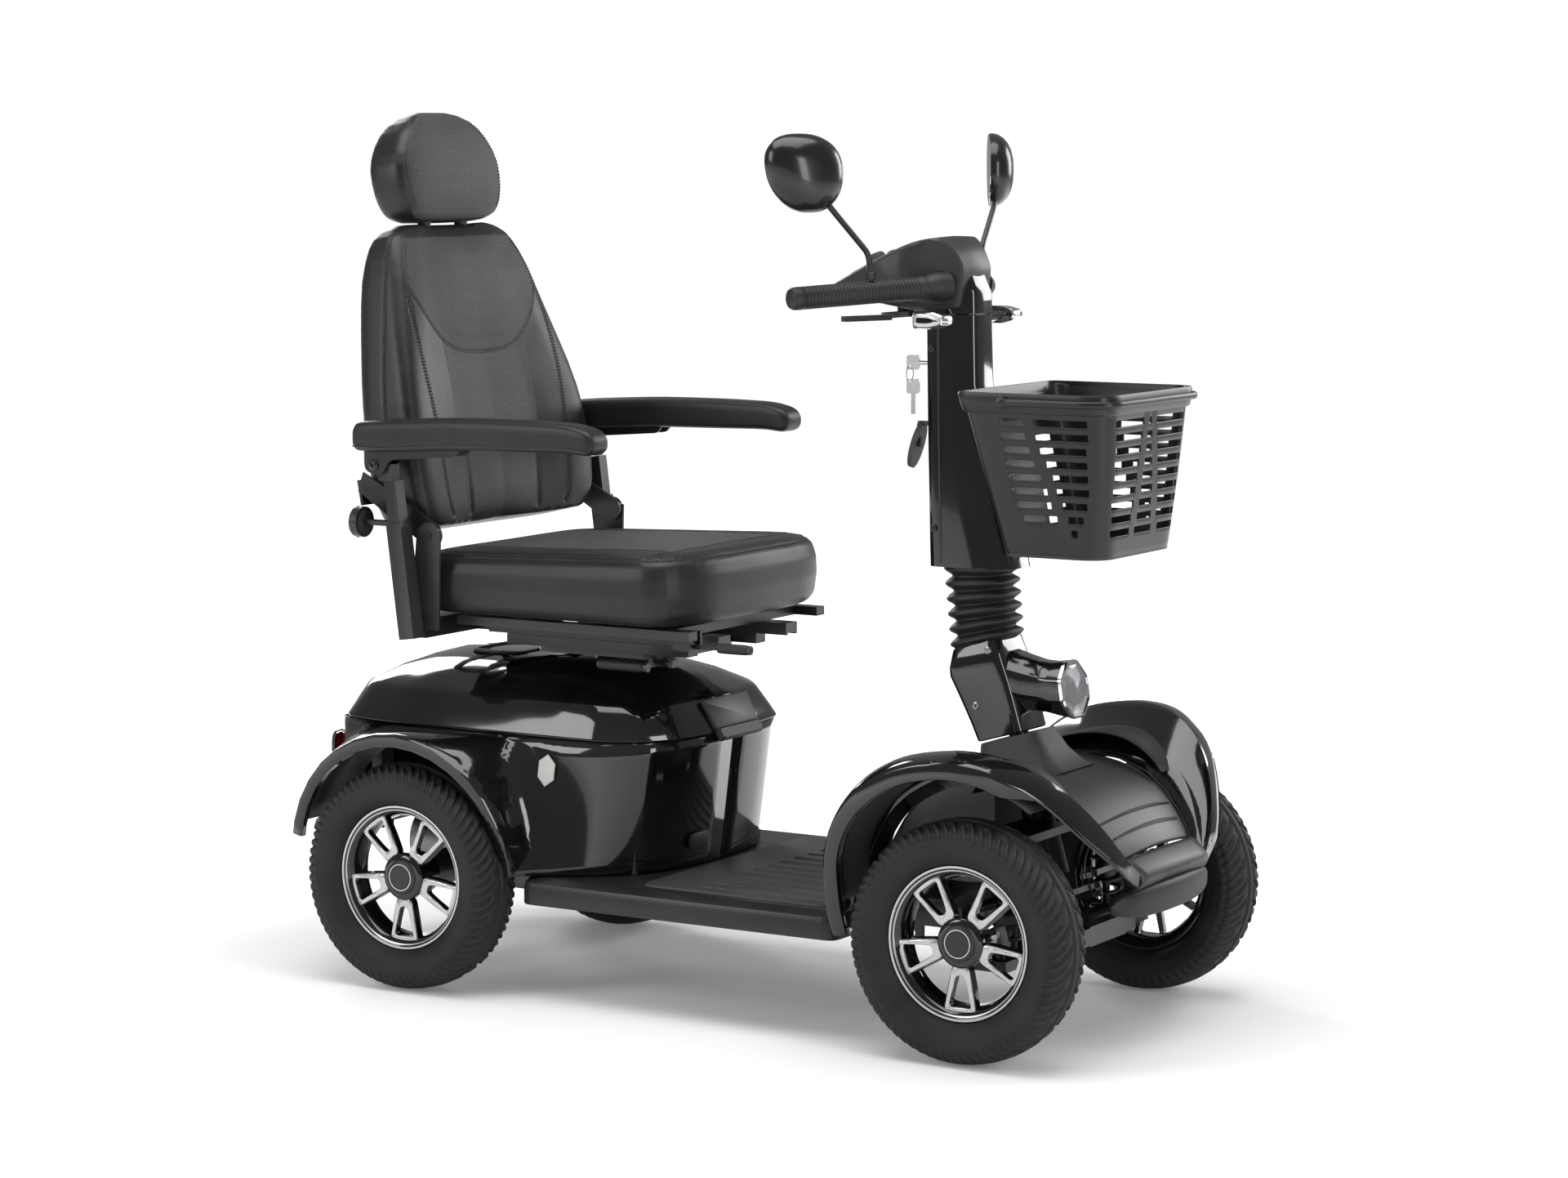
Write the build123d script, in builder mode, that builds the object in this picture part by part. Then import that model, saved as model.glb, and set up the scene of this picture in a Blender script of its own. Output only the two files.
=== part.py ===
from build123d import *
import os
from math import cos, sin, radians

# Four-wheel electric mobility scooter with a captain's seat.
# Millimetres. +X is the way it drives, +Y its left side, +Z up.
# The origin is on the floor under the middle of the whole scooter.

os.makedirs("parts", exist_ok=True)

# --- driving dimensions -----------------------------------------------------
SIDES = (("right", -1), ("left", 1))
wheel_r = 178.0              # 14 x 4 inch tyre on an 8 inch rim
wheelbase = 986.0
half_track = 296.0
rear_x = -455.0
front_x = rear_x + wheelbase
stub_r = 10.0                # stub axles
run_fit = 0.05               # radial clearance of every shaft in its bore

steer_lean = 16.0            # steering head and king pins lean back
steer_u = Vector(-sin(radians(steer_lean)), 0, cos(radians(steer_lean)))
steer_f = Vector(cos(radians(steer_lean)), 0, sin(radians(steer_lean)))
kingpin_y = 215.0
link_reach = 60.0            # pitman arm and knuckle arms

deck_top = 192.0
deck_low = 150.0
deck_back = -255.0
deck_front = 302.0
deck_half = 288.0
rail_y = 95.0

swing_pivot = (-255.0, 165.0)      # x, z
tilt_u = 449.0                     # tiller hinge, along the steering axis
post_x = -227.0                    # seat post
post_r = 20.0
seat_y = 284.0                     # armrest centre lines
arm_pivot = (-515.0, 817.0)
back_pivot = (-442.0, 708.0)
back_lean = 10.0
cushion_low = 580.0


def tilted(u, f=0.0, y=0.0):
    """Plane square to the steering axis, u up it, f forward of it."""
    centre = Vector(front_x, y, wheel_r) + steer_u * u + steer_f * f
    return Plane(origin=centre, x_dir=steer_f, z_dir=steer_u)


def across(x, y, z):
    """Plane whose normal is +Y, with local x along +X and local y along -Z."""
    return Plane(origin=(x, y, z), x_dir=(1, 0, 0), z_dir=(0, 1, 0))


def along(x, y, z):
    """Plane whose normal is +X, with local x along +Y and local y along +Z."""
    return Plane(origin=(x, y, z), x_dir=(0, 1, 0), z_dir=(1, 0, 0))


def side_plane(y=0.0):
    """Side view: local x is world X, local y is world Z, normal is -Y."""
    return Plane(origin=(0, y, 0), x_dir=(1, 0, 0), z_dir=(0, -1, 0))


tilt_point = Vector(front_x, 0, wheel_r) + steer_u * tilt_u

# --- frame: rails, tray, seat tower, upper rails, front beam, steering head ----
rail_back = -275.0
rail_front = 425.0
upper_z = 412.0
with BuildPart() as frame:
    with BuildSketch(Plane.XY.offset(deck_low + 1)):
        with Locations(((rail_back + rail_front) / 2, rail_y), ((rail_back + rail_front) / 2, -rail_y)):
            Rectangle(rail_front - rail_back, 40)
    extrude(amount=33)
    # cross members, deck bearers and the spine that carries the front beam
    for x, half in ((-200, 116), (60, 116), (405, 116)):
        with Locations((x, 0, 167.5)):
            Box(40, 2 * half, 33)
    with Locations((441, 0, 157)):
        Box(56, 120, 44)
    with Locations((532.5, 0, 150)):
        Box(155, 120, 30)
    # battery tray behind the deck
    with Locations((-315, 0, 188)):
        Box(118, 380, 8)
    # pivot pins of the rear swing arms
    with BuildSketch(across(swing_pivot[0], -156, swing_pivot[1])):
        Circle(8)
    extrude(amount=312)
    # seat tower and the upper rails over the batteries
    with Locations((post_x, 0, 332)):
        Cylinder(33, 296)
    with Locations((-230, 0, 424)):
        Box(30, 310, 24)
    with Locations((-500, 0, 424)):
        Box(24, 310, 24)
    for s in (-1, 1):
        with Locations((-425, s * 140, 424)):
            Box(420, 30, 24)
        with Locations((-625, s * 140, 326)):
            Box(20, 30, 220)
        # damper bodies of the rear springs
        with Locations((rear_x, s * 140, 348)):
            Cylinder(19, 130)
        with Locations((rear_x, s * 140, 340)):
            Cylinder(16, 134, mode=Mode.SUBTRACT)
        # pins of the front suspension arms
        for x in (460.5, 604.5):
            with Locations((x, s * 72, 150)):
                Box(11, 40, 26)
        with BuildSketch(along(456, s * 80, 150)):
            Circle(7)
        extrude(amount=152)
        # spring tower
        with Locations((517, s * 95, 304)):
            Box(78, 154, 12)
        with Locations((531, s * 150, 248)):
            Cylinder(17, 106)
        with Locations((531, s * 150, 246)):
            Cylinder(14, 104, mode=Mode.SUBTRACT)
        # tie-down lugs under the rails
        for x in (-225, 330):
            with Locations((x, s * rail_y, 138)):
                Box(36, 8, 30)
            with BuildSketch(across(x, s * rail_y - 5, 134)):
                Circle(6)
            extrude(amount=10, mode=Mode.SUBTRACT)
    # gusset behind the steering head
    with BuildSketch(side_plane(14)):
        with BuildLine():
            Polyline(
                (425, 163), (486, 163), (486, 224), (496, 226), (452, 380), (425, 380), close=True
            )
        make_face()
    extrude(amount=28)
    # steering head tube and its bore, seat tower bore
    with BuildSketch(tilted(48)):
        Circle(24)
    extrude(amount=182)
    with BuildSketch(tilted(40)):
        Circle(15 + run_fit)
    extrude(amount=200, mode=Mode.SUBTRACT)
    with Locations((post_x, 0, 430)):
        Cylinder(post_r + run_fit, 110, mode=Mode.SUBTRACT)
frame.part.label = "frame"
export_step(frame.part, "parts/frame.step")

# --- floor pan and its ribbed mat --------------------------------------------
deck_mid = (deck_back + deck_front) / 2
deck_len = deck_front - deck_back
with BuildPart() as footplate:
    with BuildSketch(Plane.XY.offset(deck_low)):
        with Locations((deck_mid, 0)):
            RectangleRounded(deck_len, 2 * deck_half, 18)
    extrude(amount=deck_top - deck_low)
    with BuildSketch(Plane.XY.offset(deck_low)):
        with Locations((deck_mid, 0)):
            Rectangle(deck_len - 16, 2 * deck_half - 16)
        for y in (rail_y, -rail_y):
            with Locations((0, y)):
                Rectangle(1000, 44)
    extrude(amount=deck_top - deck_low - 8, mode=Mode.SUBTRACT)
    with BuildSketch(Plane.XY.offset(deck_low)):
        with Locations((0, 0)):
            Rectangle(90, 200)
    extrude(amount=-14)
    with Locations((post_x, 0, deck_top - 4)):
        Cylinder(34, 10, mode=Mode.SUBTRACT)
    # the battery tray reaches in at the back
    with Locations((-255, 0, 171)):
        Box(20, 382, 42, mode=Mode.SUBTRACT)
footplate.part.label = "footplate"
export_step(footplate.part, "parts/footplate.step")

mat_back = -50.0
mat_front = 272.0
with BuildPart() as footplate_mat:
    with BuildSketch(Plane.XY.offset(deck_top)):
        with Locations(((mat_back + mat_front) / 2, 0)):
            RectangleRounded(mat_front - mat_back, 500, 20)
    extrude(amount=3)
    with BuildSketch(Plane.XY.offset(deck_top + 3)):
        with Locations((150, 0)):
            with GridLocations(1, 40, 1, 12):
                SlotOverall(200, 12)
    extrude(amount=3)
footplate_mat.part.label = "footplate_mat"
export_step(footplate_mat.part, "parts/footplate_mat.step")

# --- rear body: lower shroud, top cover, fenders, hatch ------------------------
shroud_foot = (-640.0, -82.0, 210.0)     # back, front, half width at the deck
shroud_belt = (-684.0, -56.0, 222.0)     # at the belt line
belt_z = 400.0
top_z = 506.0
wall = 4.0


def rounded_plan(plan, radius, inset=0.0):
    back, front, half = plan
    with Locations(((back + front) / 2, 0)):
        RectangleRounded(front - back - 2 * inset, 2 * (half - inset), radius - inset)


with BuildPart() as rear_shroud:
    with BuildSketch(Plane.XY.offset(deck_top)):
        rounded_plan(shroud_foot, 70)
    with BuildSketch(Plane.XY.offset(belt_z)):
        rounded_plan(shroud_belt, 70)
    loft()
    with BuildSketch(Plane.XY.offset(deck_top - 1)):
        rounded_plan(shroud_foot, 70, wall)
    with BuildSketch(Plane.XY.offset(belt_z + 1)):
        rounded_plan(shroud_belt, 70, wall)
    loft(mode=Mode.SUBTRACT)
    # raised lower edge over the axle, and room for the battery tray
    with Locations((-470, 0, 220)):
        Box(430, 600, 64, mode=Mode.SUBTRACT)
rear_shroud.part.label = "rear_shroud"
export_step(rear_shroud.part, "parts/rear_shroud.step")

band_plan = (-650.0, -84.0, 200.0)
crown_plan = (-596.0, -128.0, 150.0)
with BuildPart() as rear_top_cover:
    with BuildSketch(Plane.XY.offset(belt_z)):
        rounded_plan(shroud_belt, 70)
    with BuildSketch(Plane.XY.offset(belt_z + 52)):
        rounded_plan(band_plan, 62)
    loft()
    with BuildSketch(Plane.XY.offset(belt_z + 52)):
        rounded_plan(band_plan, 62)
    with BuildSketch(Plane.XY.offset(top_z)):
        rounded_plan(crown_plan, 50)
    loft()
    with BuildSketch(Plane.XY.offset(belt_z - 1)):
        rounded_plan(shroud_belt, 70, wall)
    with BuildSketch(Plane.XY.offset(belt_z + 50)):
        rounded_plan(band_plan, 62, wall)
    loft(mode=Mode.SUBTRACT)
    with BuildSketch(Plane.XY.offset(belt_z + 49.9)):
        rounded_plan(band_plan, 62, wall)
    with BuildSketch(Plane.XY.offset(top_z - wall)):
        rounded_plan(crown_plan, 50, wall)
    loft(mode=Mode.SUBTRACT)
    with Locations((post_x, 0, top_z)):
        Cylinder(40, 40, mode=Mode.SUBTRACT)
rear_top_cover.part.label = "rear_top_cover"
export_step(rear_top_cover.part, "parts/rear_top_cover.step")

with BuildPart() as rear_fenders:
    for s in (-1, 1):
        with BuildSketch(across(rear_x, 222.4 if s > 0 else -335, wheel_r)):
            Circle(228)
            Circle(224, mode=Mode.SUBTRACT)
        extrude(amount=112.6)
        with BuildSketch(across(rear_x, s * 333 - 3, wheel_r)):
            Circle(228)
            Circle(206, mode=Mode.SUBTRACT)
        extrude(amount=6)
    # only the arch above the axle stays
    with Locations((rear_x, 0, 70)):
        Box(600, 800, 270, mode=Mode.SUBTRACT)
    with Locations((rear_x - 200, 0, 220)):
        Box(90, 800, 140, mode=Mode.SUBTRACT)
rear_fenders.part.label = "rear_fenders"
export_step(rear_fenders.part, "parts/rear_fenders.step")

# charging hatch on the front slope of the top cover
slope_low = Vector(shroud_belt[1], 0, belt_z)
slope_high = Vector(band_plan[1], 0, belt_z + 52)
slope_dir = (slope_high - slope_low).normalized()
hatch_normal = Vector(0, 1, 0).cross(slope_dir)
hatch_plane = Plane(origin=slope_low + slope_dir * 30, x_dir=(0, 1, 0), z_dir=hatch_normal)
with BuildPart() as charge_hatch:
    with BuildSketch(hatch_plane.offset(0.4)):
        RectangleRounded(120, 50, 8)
    extrude(amount=5)
    with BuildSketch(hatch_plane.offset(5.4)):
        with Locations((0, -20)):
            RectangleRounded(100, 9, 4)
    extrude(amount=5)
charge_hatch.part.label = "charge_hatch"
export_step(charge_hatch.part, "parts/charge_hatch.step")

with BuildPart() as batteries:
    for s in (-1, 1):
        with Locations((-240, s * 111, 293)):
            Box(260, 148, 200)
        with Locations((-300, s * 111, 396), (-180, s * 111, 396)):
            Cylinder(8, 6)
    # motor controller with its cooling fins
    with Locations((-146, 0, 222)):
        Box(84, 60, 60)
    with Locations((-146, 0, 255)):
        with GridLocations(16, 1, 5, 1):
            Box(3, 60, 12)
batteries.part.label = "batteries"
export_step(batteries.part, "parts/batteries.step")

with BuildPart() as rear_lights:
    for s in (-1, 1):
        with BuildSketch(along(-690, s * 150, 350)):
            RectangleRounded(96, 34, 14)
        extrude(amount=12)
rear_lights.part.label = "rear_lights"
export_step(rear_lights.part, "parts/rear_lights.step")

# --- front body ----------------------------------------------------------------
arch_r = 250.0
with BuildPart() as front_fender:
    for s in (-1, 1):
        with BuildSketch(across(front_x, 150 if s > 0 else -345, wheel_r)):
            Circle(arch_r)
            Circle(arch_r - 5, mode=Mode.SUBTRACT)
        extrude(amount=195)
        with BuildSketch(across(front_x, s * 342.5 - 2.5, wheel_r)):
            Circle(arch_r)
            Circle(arch_r - 26, mode=Mode.SUBTRACT)
        extrude(amount=5)
    with Locations((front_x, 0, 59)):
        Box(600, 800, 266, mode=Mode.SUBTRACT)
    # the arch ends where it runs down into the nose
    with Locations((front_x + 215, 0, 290)):
        Box(180, 800, 300, mode=Mode.SUBTRACT)
    # nose skin, narrowing to the front
    with BuildSketch(side_plane(150)):
        with BuildLine():
            Polyline(
                (636, 404), (682, 346), (708, 282), (718, 256), (713, 254), (703, 280), (677, 343),
                (632, 400), close=True,
            )
        make_face()
    extrude(amount=300)
    for s in (-1, 1):
        with BuildSketch(Plane.XY.offset(240)):
            with BuildLine():
                Polyline((655, s * 160), (730, s * 160), (730, s * 100), (705, s * 100), close=True)
            make_face()
        extrude(amount=180, mode=Mode.SUBTRACT)
front_fender.part.label = "front_fender"
export_step(front_fender.part, "parts/front_fender.step")

with BuildPart() as nose_cover:
    with BuildSketch(side_plane(148)):
        with BuildLine():
            Polyline(
                (372, 360), (480, 376), (560, 371), (632, 345), (690, 300), (704, 262), (698, 260),
                (684, 297), (628, 341), (558, 366), (480, 371), (376, 355), (310, 192), (304, 192),
                close=True,
            )
        make_face()
    extrude(amount=296)
    for s in (-1, 1):
        with BuildSketch(Plane.XY.offset(250)):
            with BuildLine():
                Polyline((560, s * 150), (720, s * 150), (720, s * 92), close=True)
            make_face()
        extrude(amount=180, mode=Mode.SUBTRACT)
    # steering cone round the head tube
    with BuildSketch(tilted(186)):
        RectangleRounded(140, 124, 40)
    with BuildSketch(tilted(262)):
        RectangleRounded(104, 96, 34)
    loft()
    with BuildSketch(tilted(170)):
        RectangleRounded(132, 116, 36)
    with BuildSketch(tilted(264)):
        RectangleRounded(95, 88, 30)
    loft(mode=Mode.SUBTRACT)
nose_cover.part.label = "nose_cover"
export_step(nose_cover.part, "parts/nose_cover.step")

with BuildPart() as bumpers:
    with BuildSketch(Plane.XY.offset(206)):
        with Locations((-711, 0)):
            RectangleRounded(30, 430, 13)
    extrude(amount=44)
    for s in (-1, 1):
        with Locations((-667, s * 140, 228)):
            Box(64, 22, 12)
    with BuildSketch(Plane.XY.offset(197)):
        with Locations((708, 0)):
            RectangleRounded(36, 312, 17)
    extrude(amount=44)
    for s in (-1, 1):
        with Locations((650, s * 40, 201)):
            Box(92, 16, 8)
        with Locations((607, s * 40, 185)):
            Box(6, 16, 40)
bumpers.part.label = "bumpers"
export_step(bumpers.part, "parts/bumpers.step")

# --- rear drive unit on its swing arms -------------------------------------------
with BuildPart() as transaxle:
    with BuildSketch(across(rear_x, -258, wheel_r)):
        Circle(28)
    extrude(amount=516)
    with Locations((rear_x, 0, wheel_r)):
        Box(130, 130, 110)
    with BuildSketch(along(-640, 0, wheel_r)):
        Circle(50)
    extrude(amount=130)
    with BuildSketch(across(rear_x, -half_track - 15, wheel_r)):
        Circle(stub_r)
    extrude(amount=2 * (half_track + 15))
    for s in (-1, 1):
        with BuildSketch(across(swing_pivot[0], s * 133 - 15, swing_pivot[1])):
            Circle(18)
        extrude(amount=30)
        with Locations((-356, s * 133, 160)):
            Box(186, 30, 28)
        with BuildSketch(across(swing_pivot[0], s * 133 - 15, swing_pivot[1])):
            Circle(8 + run_fit)
        extrude(amount=30, mode=Mode.SUBTRACT)
        with Locations((rear_x, s * 140, 250)):
            Cylinder(6, 100)
        with Locations((rear_x, s * 140, 208)):
            Cylinder(24, 8)
transaxle.part.label = "transaxle"
export_step(transaxle.part, "parts/transaxle.step")

with BuildPart() as rear_springs:
    for s in (-1, 1):
        with BuildSketch(Plane.XY.offset(213)):
            with Locations((rear_x, s * 140)):
                Circle(27)
                Circle(20.5, mode=Mode.SUBTRACT)
        extrude(amount=upper_z - 214)
rear_springs.part.label = "rear_springs"
export_step(rear_springs.part, "parts/rear_springs.step")

# --- wheels: tyre and five-spoke rim, four times ------------------------------------
bead = 24.0
for end, x in (("rear", rear_x), ("front", front_x)):
    for side, s in SIDES:
        centre = (x, s * half_track, wheel_r)
        axle = Axis(centre, (0, 1, 0))
        with BuildPart() as tyre:
            with BuildSketch(along(*centre)):
                with BuildLine():
                    Line((-bead, 104), (-bead, 114))
                    Spline((-bead, 114), (-44, 127), (-50, 146), (-47, 162), (-38, 172))
                    ThreePointArc((-38, 172), (0, wheel_r), (38, 172))
                    Spline((38, 172), (47, 162), (50, 146), (44, 127), (bead, 114))
                    Line((bead, 114), (bead, 104))
                    Line((bead, 104), (-bead, 104))
                make_face()
            revolve(axis=axle)
        tyre.part.label = f"{end}_tyre_{side}"
        export_step(tyre.part, f"parts/{end}_tyre_{side}.step")

        with BuildPart() as rim:
            with BuildSketch(along(*centre)):
                with BuildLine():
                    Polyline(
                        (-27, 96), (27, 96), (27, 114), (bead, 114), (bead, 104), (-bead, 104),
                        (-bead, 114), (-27, 114), close=True,
                    )
                make_face()
            revolve(axis=axle)
            # spoke disc near the outer face, and the hub
            with BuildSketch(across(x, s * (half_track + 14) - 7, wheel_r)):
                Circle(36)
                with PolarLocations(0, 5, start_angle=90):
                    with BuildLine():
                        Polyline((30, -12), (97, -27), (97, 27), (30, 12), close=True)
                    make_face()
                with PolarLocations(0, 5, start_angle=90):
                    with BuildLine():
                        Polyline((44, -5), (88, -15), (88, 15), (44, 5), close=True)
                    make_face(mode=Mode.SUBTRACT)
            extrude(amount=14)
            with BuildSketch(across(x, s * (half_track - 5) - 29, wheel_r)):
                Circle(30)
            extrude(amount=58)
            with BuildSketch(across(x, s * (half_track - 9) - 27, wheel_r)):
                Circle(stub_r + run_fit)
            extrude(amount=54, mode=Mode.SUBTRACT)
        rim.part.label = f"{end}_rim_{side}"
        export_step(rim.part, f"parts/{end}_rim_{side}.step")

# --- front suspension arms, springs, knuckles and tie rods -----------------------------
for side, s in SIDES:
    with BuildPart() as arm:
        with Locations((531, s * 157, 130)):
            Box(62, 156, 16)
        with BuildSketch(along(467, s * 80, 150)):
            Circle(14)
        extrude(amount=131)
        with Locations((531, s * 84, 136)):
            Box(62, 16, 14)
        with BuildSketch(tilted(-45, 0, s * kingpin_y)):
            Circle(8)
        extrude(amount=83)
        with BuildSketch(tilted(34, 0, s * kingpin_y)):
            Circle(13)
        extrude(amount=4)
        with Locations((531, s * 150, 179)):
            Cylinder(6, 90)
        with BuildSketch(along(467, s * 80, 150)):
            Circle(7 + run_fit)
        extrude(amount=131, mode=Mode.SUBTRACT)
    arm.part.label = f"front_arm_{side}"
    export_step(arm.part, f"parts/front_arm_{side}.step")

    with BuildPart() as spring:
        with BuildSketch(Plane.XY.offset(139)):
            with Locations((531, s * 150)):
                Circle(25)
                Circle(18.5, mode=Mode.SUBTRACT)
        extrude(amount=158)
    spring.part.label = f"front_spring_{side}"
    export_step(spring.part, f"parts/front_spring_{side}.step")

    # the left tie rod lies above the right one on the shared pitman pin
    rod_u = 17.0 if s < 0 else 34.0
    with BuildPart() as knuckle:
        with BuildSketch(tilted(-32, 0, s * kingpin_y)):
            Circle(18)
        extrude(amount=64)
        with BuildSketch(across(front_x, min(s * kingpin_y, s * (half_track + 15)), wheel_r)):
            Circle(stub_r)
        extrude(amount=half_track + 15 - kingpin_y)
        with BuildSketch(across(front_x, min(s * 228, s * 258), wheel_r)):
            Circle(17)
        extrude(amount=30)
        with BuildSketch(tilted(rod_u - 13, 0, s * kingpin_y)):
            with Locations((link_reach / 2, 0)):
                SlotOverall(link_reach + 20, 20)
        extrude(amount=12)
        with BuildSketch(tilted(rod_u - 13, link_reach, s * kingpin_y)):
            Circle(4)
        extrude(amount=23)
        with BuildSketch(tilted(-32, 0, s * kingpin_y)):
            Circle(8 + run_fit)
        extrude(amount=70, mode=Mode.SUBTRACT)
    knuckle.part.label = f"knuckle_{side}"
    export_step(knuckle.part, f"parts/knuckle_{side}.step")

    with BuildPart() as rod:
        with BuildSketch(tilted(rod_u, link_reach, 0)):
            with Locations((0, s * kingpin_y)):
                Circle(10)
        extrude(amount=8)
        with BuildSketch(tilted(rod_u, link_reach, 0)):
            Circle(14)
        extrude(amount=8)
        with BuildSketch(tilted(rod_u, link_reach, 0)):
            with Locations((0, s * kingpin_y / 2)):
                Rectangle(8, kingpin_y - 16)
        extrude(amount=8)
        with BuildSketch(tilted(rod_u, link_reach, 0)):
            with Locations((0, s * kingpin_y)):
                Circle(4 + run_fit)
            Circle(9)
        extrude(amount=8, mode=Mode.SUBTRACT)
    rod.part.label = f"tie_rod_{side}"
    export_step(rod.part, f"parts/tie_rod_{side}.step")

# --- steering column: shaft, pitman arm, fork for the tiller hinge -----------------------
with BuildPart() as steering_shaft:
    with BuildSketch(tilted(4)):
        Circle(15)
    extrude(amount=300)
    with BuildSketch(tilted(4)):
        with Locations((link_reach / 2, 0)):
            SlotOverall(link_reach + 24, 24)
    extrude(amount=8)
    with BuildSketch(tilted(4, link_reach)):
        Circle(4)
    extrude(amount=46)
    with BuildSketch(tilted(232)):
        Circle(22)
    extrude(amount=12)
    with BuildSketch(tilted(300)):
        Rectangle(40, 62)
    extrude(amount=12)
    with BuildSketch(tilted(312)):
        for y in (-26, 26):
            with Locations((0, y)):
                Rectangle(34, 10)
    extrude(amount=tilt_u - 312)
    with BuildSketch(across(tilt_point.X, -31, tilt_point.Z)):
        Circle(17)
    extrude(amount=62)
    with BuildSketch(across(tilt_point.X, -21, tilt_point.Z)):
        Circle(19)
    extrude(amount=42, mode=Mode.SUBTRACT)
    with BuildSketch(across(tilt_point.X, -31, tilt_point.Z)):
        Circle(7)
    extrude(amount=62)
steering_shaft.part.label = "steering_shaft"
export_step(steering_shaft.part, "parts/steering_shaft.step")

# neck shell with the headlamp nacelle
neck_low = 268.0
neck_top = 414.0
lamp_x, lamp_z, lamp_r = 548.0, 508.0, 43.0
with BuildPart() as neck_shell:
    with BuildSketch(tilted(neck_low, -11)):
        RectangleRounded(84, 92, 24)
    with BuildSketch(tilted(378, -22)):
        RectangleRounded(96, 100, 26)
    loft()
    with BuildSketch(tilted(378, -22)):
        RectangleRounded(96, 100, 26)
    with BuildSketch(tilted(neck_top, -15)):
        RectangleRounded(82, 94, 26)
    loft()
    with BuildSketch(along(440, 0, lamp_z)):
        RegularPolygon(lamp_r - 4, 8, rotation=22.5)
    with BuildSketch(along(lamp_x - 6, 0, lamp_z)):
        RegularPolygon(lamp_r, 8, rotation=22.5)
    loft()
    with BuildSketch(tilted(neck_low - 1, -11)):
        RectangleRounded(74, 82, 20)
    with BuildSketch(tilted(neck_top + 1, -15)):
        RectangleRounded(72, 84, 20)
    loft(mode=Mode.SUBTRACT)
    with BuildSketch(along(470, 0, lamp_z)):
        Circle(lamp_r - 10)
    extrude(amount=lamp_x - 470, mode=Mode.SUBTRACT)
neck_shell.part.label = "neck_shell"
export_step(neck_shell.part, "parts/neck_shell.step")

with BuildPart() as headlamp:
    with BuildSketch(along(500, 0, lamp_z)):
        Circle(lamp_r - 12)
    extrude(amount=38)
    with BuildSketch(along(lamp_x - 6, 0, lamp_z)):
        RegularPolygon(lamp_r, 8, rotation=22.5)
    extrude(amount=8)
headlamp.part.label = "headlamp"
export_step(headlamp.part, "parts/headlamp.step")

# rubber bellows over the tiller hinge
with BuildPart() as bellows:
    with BuildSketch(tilted(neck_top + 3, -12)):
        RectangleRounded(112, 112, 34)
        RectangleRounded(96, 96, 28, mode=Mode.SUBTRACT)
    extrude(amount=96)
bellows.part.label = "bellows"
export_step(bellows.part, "parts/bellows.step")

# --- tiller ---------------------------------------------------------------------------
column_low = 690.0
column_top = 1128.0
key_z = 985.0
release_x, release_z = 310.0, 894.0      # pin of the tilt release
with BuildPart() as tiller_stem:
    with BuildSketch(across(tilt_point.X, -20, tilt_point.Z)):
        Circle(16)
    extrude(amount=40)
    with BuildSketch(side_plane(12)):
        with BuildLine():
            Polyline(
                (tilt_point.X - 12, tilt_point.Z), (tilt_point.X + 12, tilt_point.Z), (372, 1080),
                (350, 1080), close=True,
            )
        make_face()
    extrude(amount=24)
    with BuildSketch(across(tilt_point.X, -21, tilt_point.Z)):
        Circle(7 + run_fit)
    extrude(amount=42, mode=Mode.SUBTRACT)
tiller_stem.part.label = "tiller_stem"
export_step(tiller_stem.part, "parts/tiller_stem.step")


def column_plan(back, front, half, radius, inset=0.0):
    with Locations(((back + front) / 2, 0)):
        RectangleRounded(front - back - 2 * inset, 2 * (half - inset), radius - inset)


with BuildPart() as tiller_cover:
    with BuildSketch(Plane.XY.offset(column_low)):
        column_plan(324, 462, 54, 22)
    with BuildSketch(Plane.XY.offset(column_top)):
        column_plan(318, 386, 47, 18)
    loft()
    with BuildSketch(Plane.XY.offset(column_low - 1)):
        column_plan(324, 462, 54, 22, wall)
    with BuildSketch(Plane.XY.offset(column_top - wall)):
        column_plan(318, 386, 47, 18, wall)
    loft(mode=Mode.SUBTRACT)
    # basket bracket on the front
    with Locations((424, 0, 915)):
        Box(14, 84, 60)
    with Locations((434, 0, 890)):
        Box(20, 70, 5)
    # key switch and the hanger of the tilt release
    with Locations((311, 0, key_z)):
        Box(28, 40, 40)
    with BuildSketch(along(290, 0, key_z)):
        Circle(9)
    extrude(amount=10)
    with BuildSketch(along(289, 0, key_z)):
        Circle(3 + run_fit)
    extrude(amount=20, mode=Mode.SUBTRACT)
    for y in (-10.5, 10.5):
        with Locations((314, y, release_z)):
            Box(22, 3, 16)
    with BuildSketch(across(release_x, -12, release_z)):
        Circle(3)
    extrude(amount=24)
tiller_cover.part.label = "tiller_cover"
export_step(tiller_cover.part, "parts/tiller_cover.step")

# console: a wedge that slopes down towards the rider
bar_r = 11.0
grip_r = 17.0
bar_root = Vector(346, 75, 1102)         # where each half of the bar leaves the console
bar_tip = Vector(236, 298, 1090)
bar_len = (bar_tip - bar_root).length
mirror_root = Vector(297.7, 173, 1100)   # mirror stud in the grip


def bar_plane(s):
    root = Vector(bar_root.X, s * bar_root.Y, bar_root.Z)
    tip = Vector(bar_tip.X, s * bar_tip.Y, bar_tip.Z)
    return Plane(origin=root, z_dir=tip - root)


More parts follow.
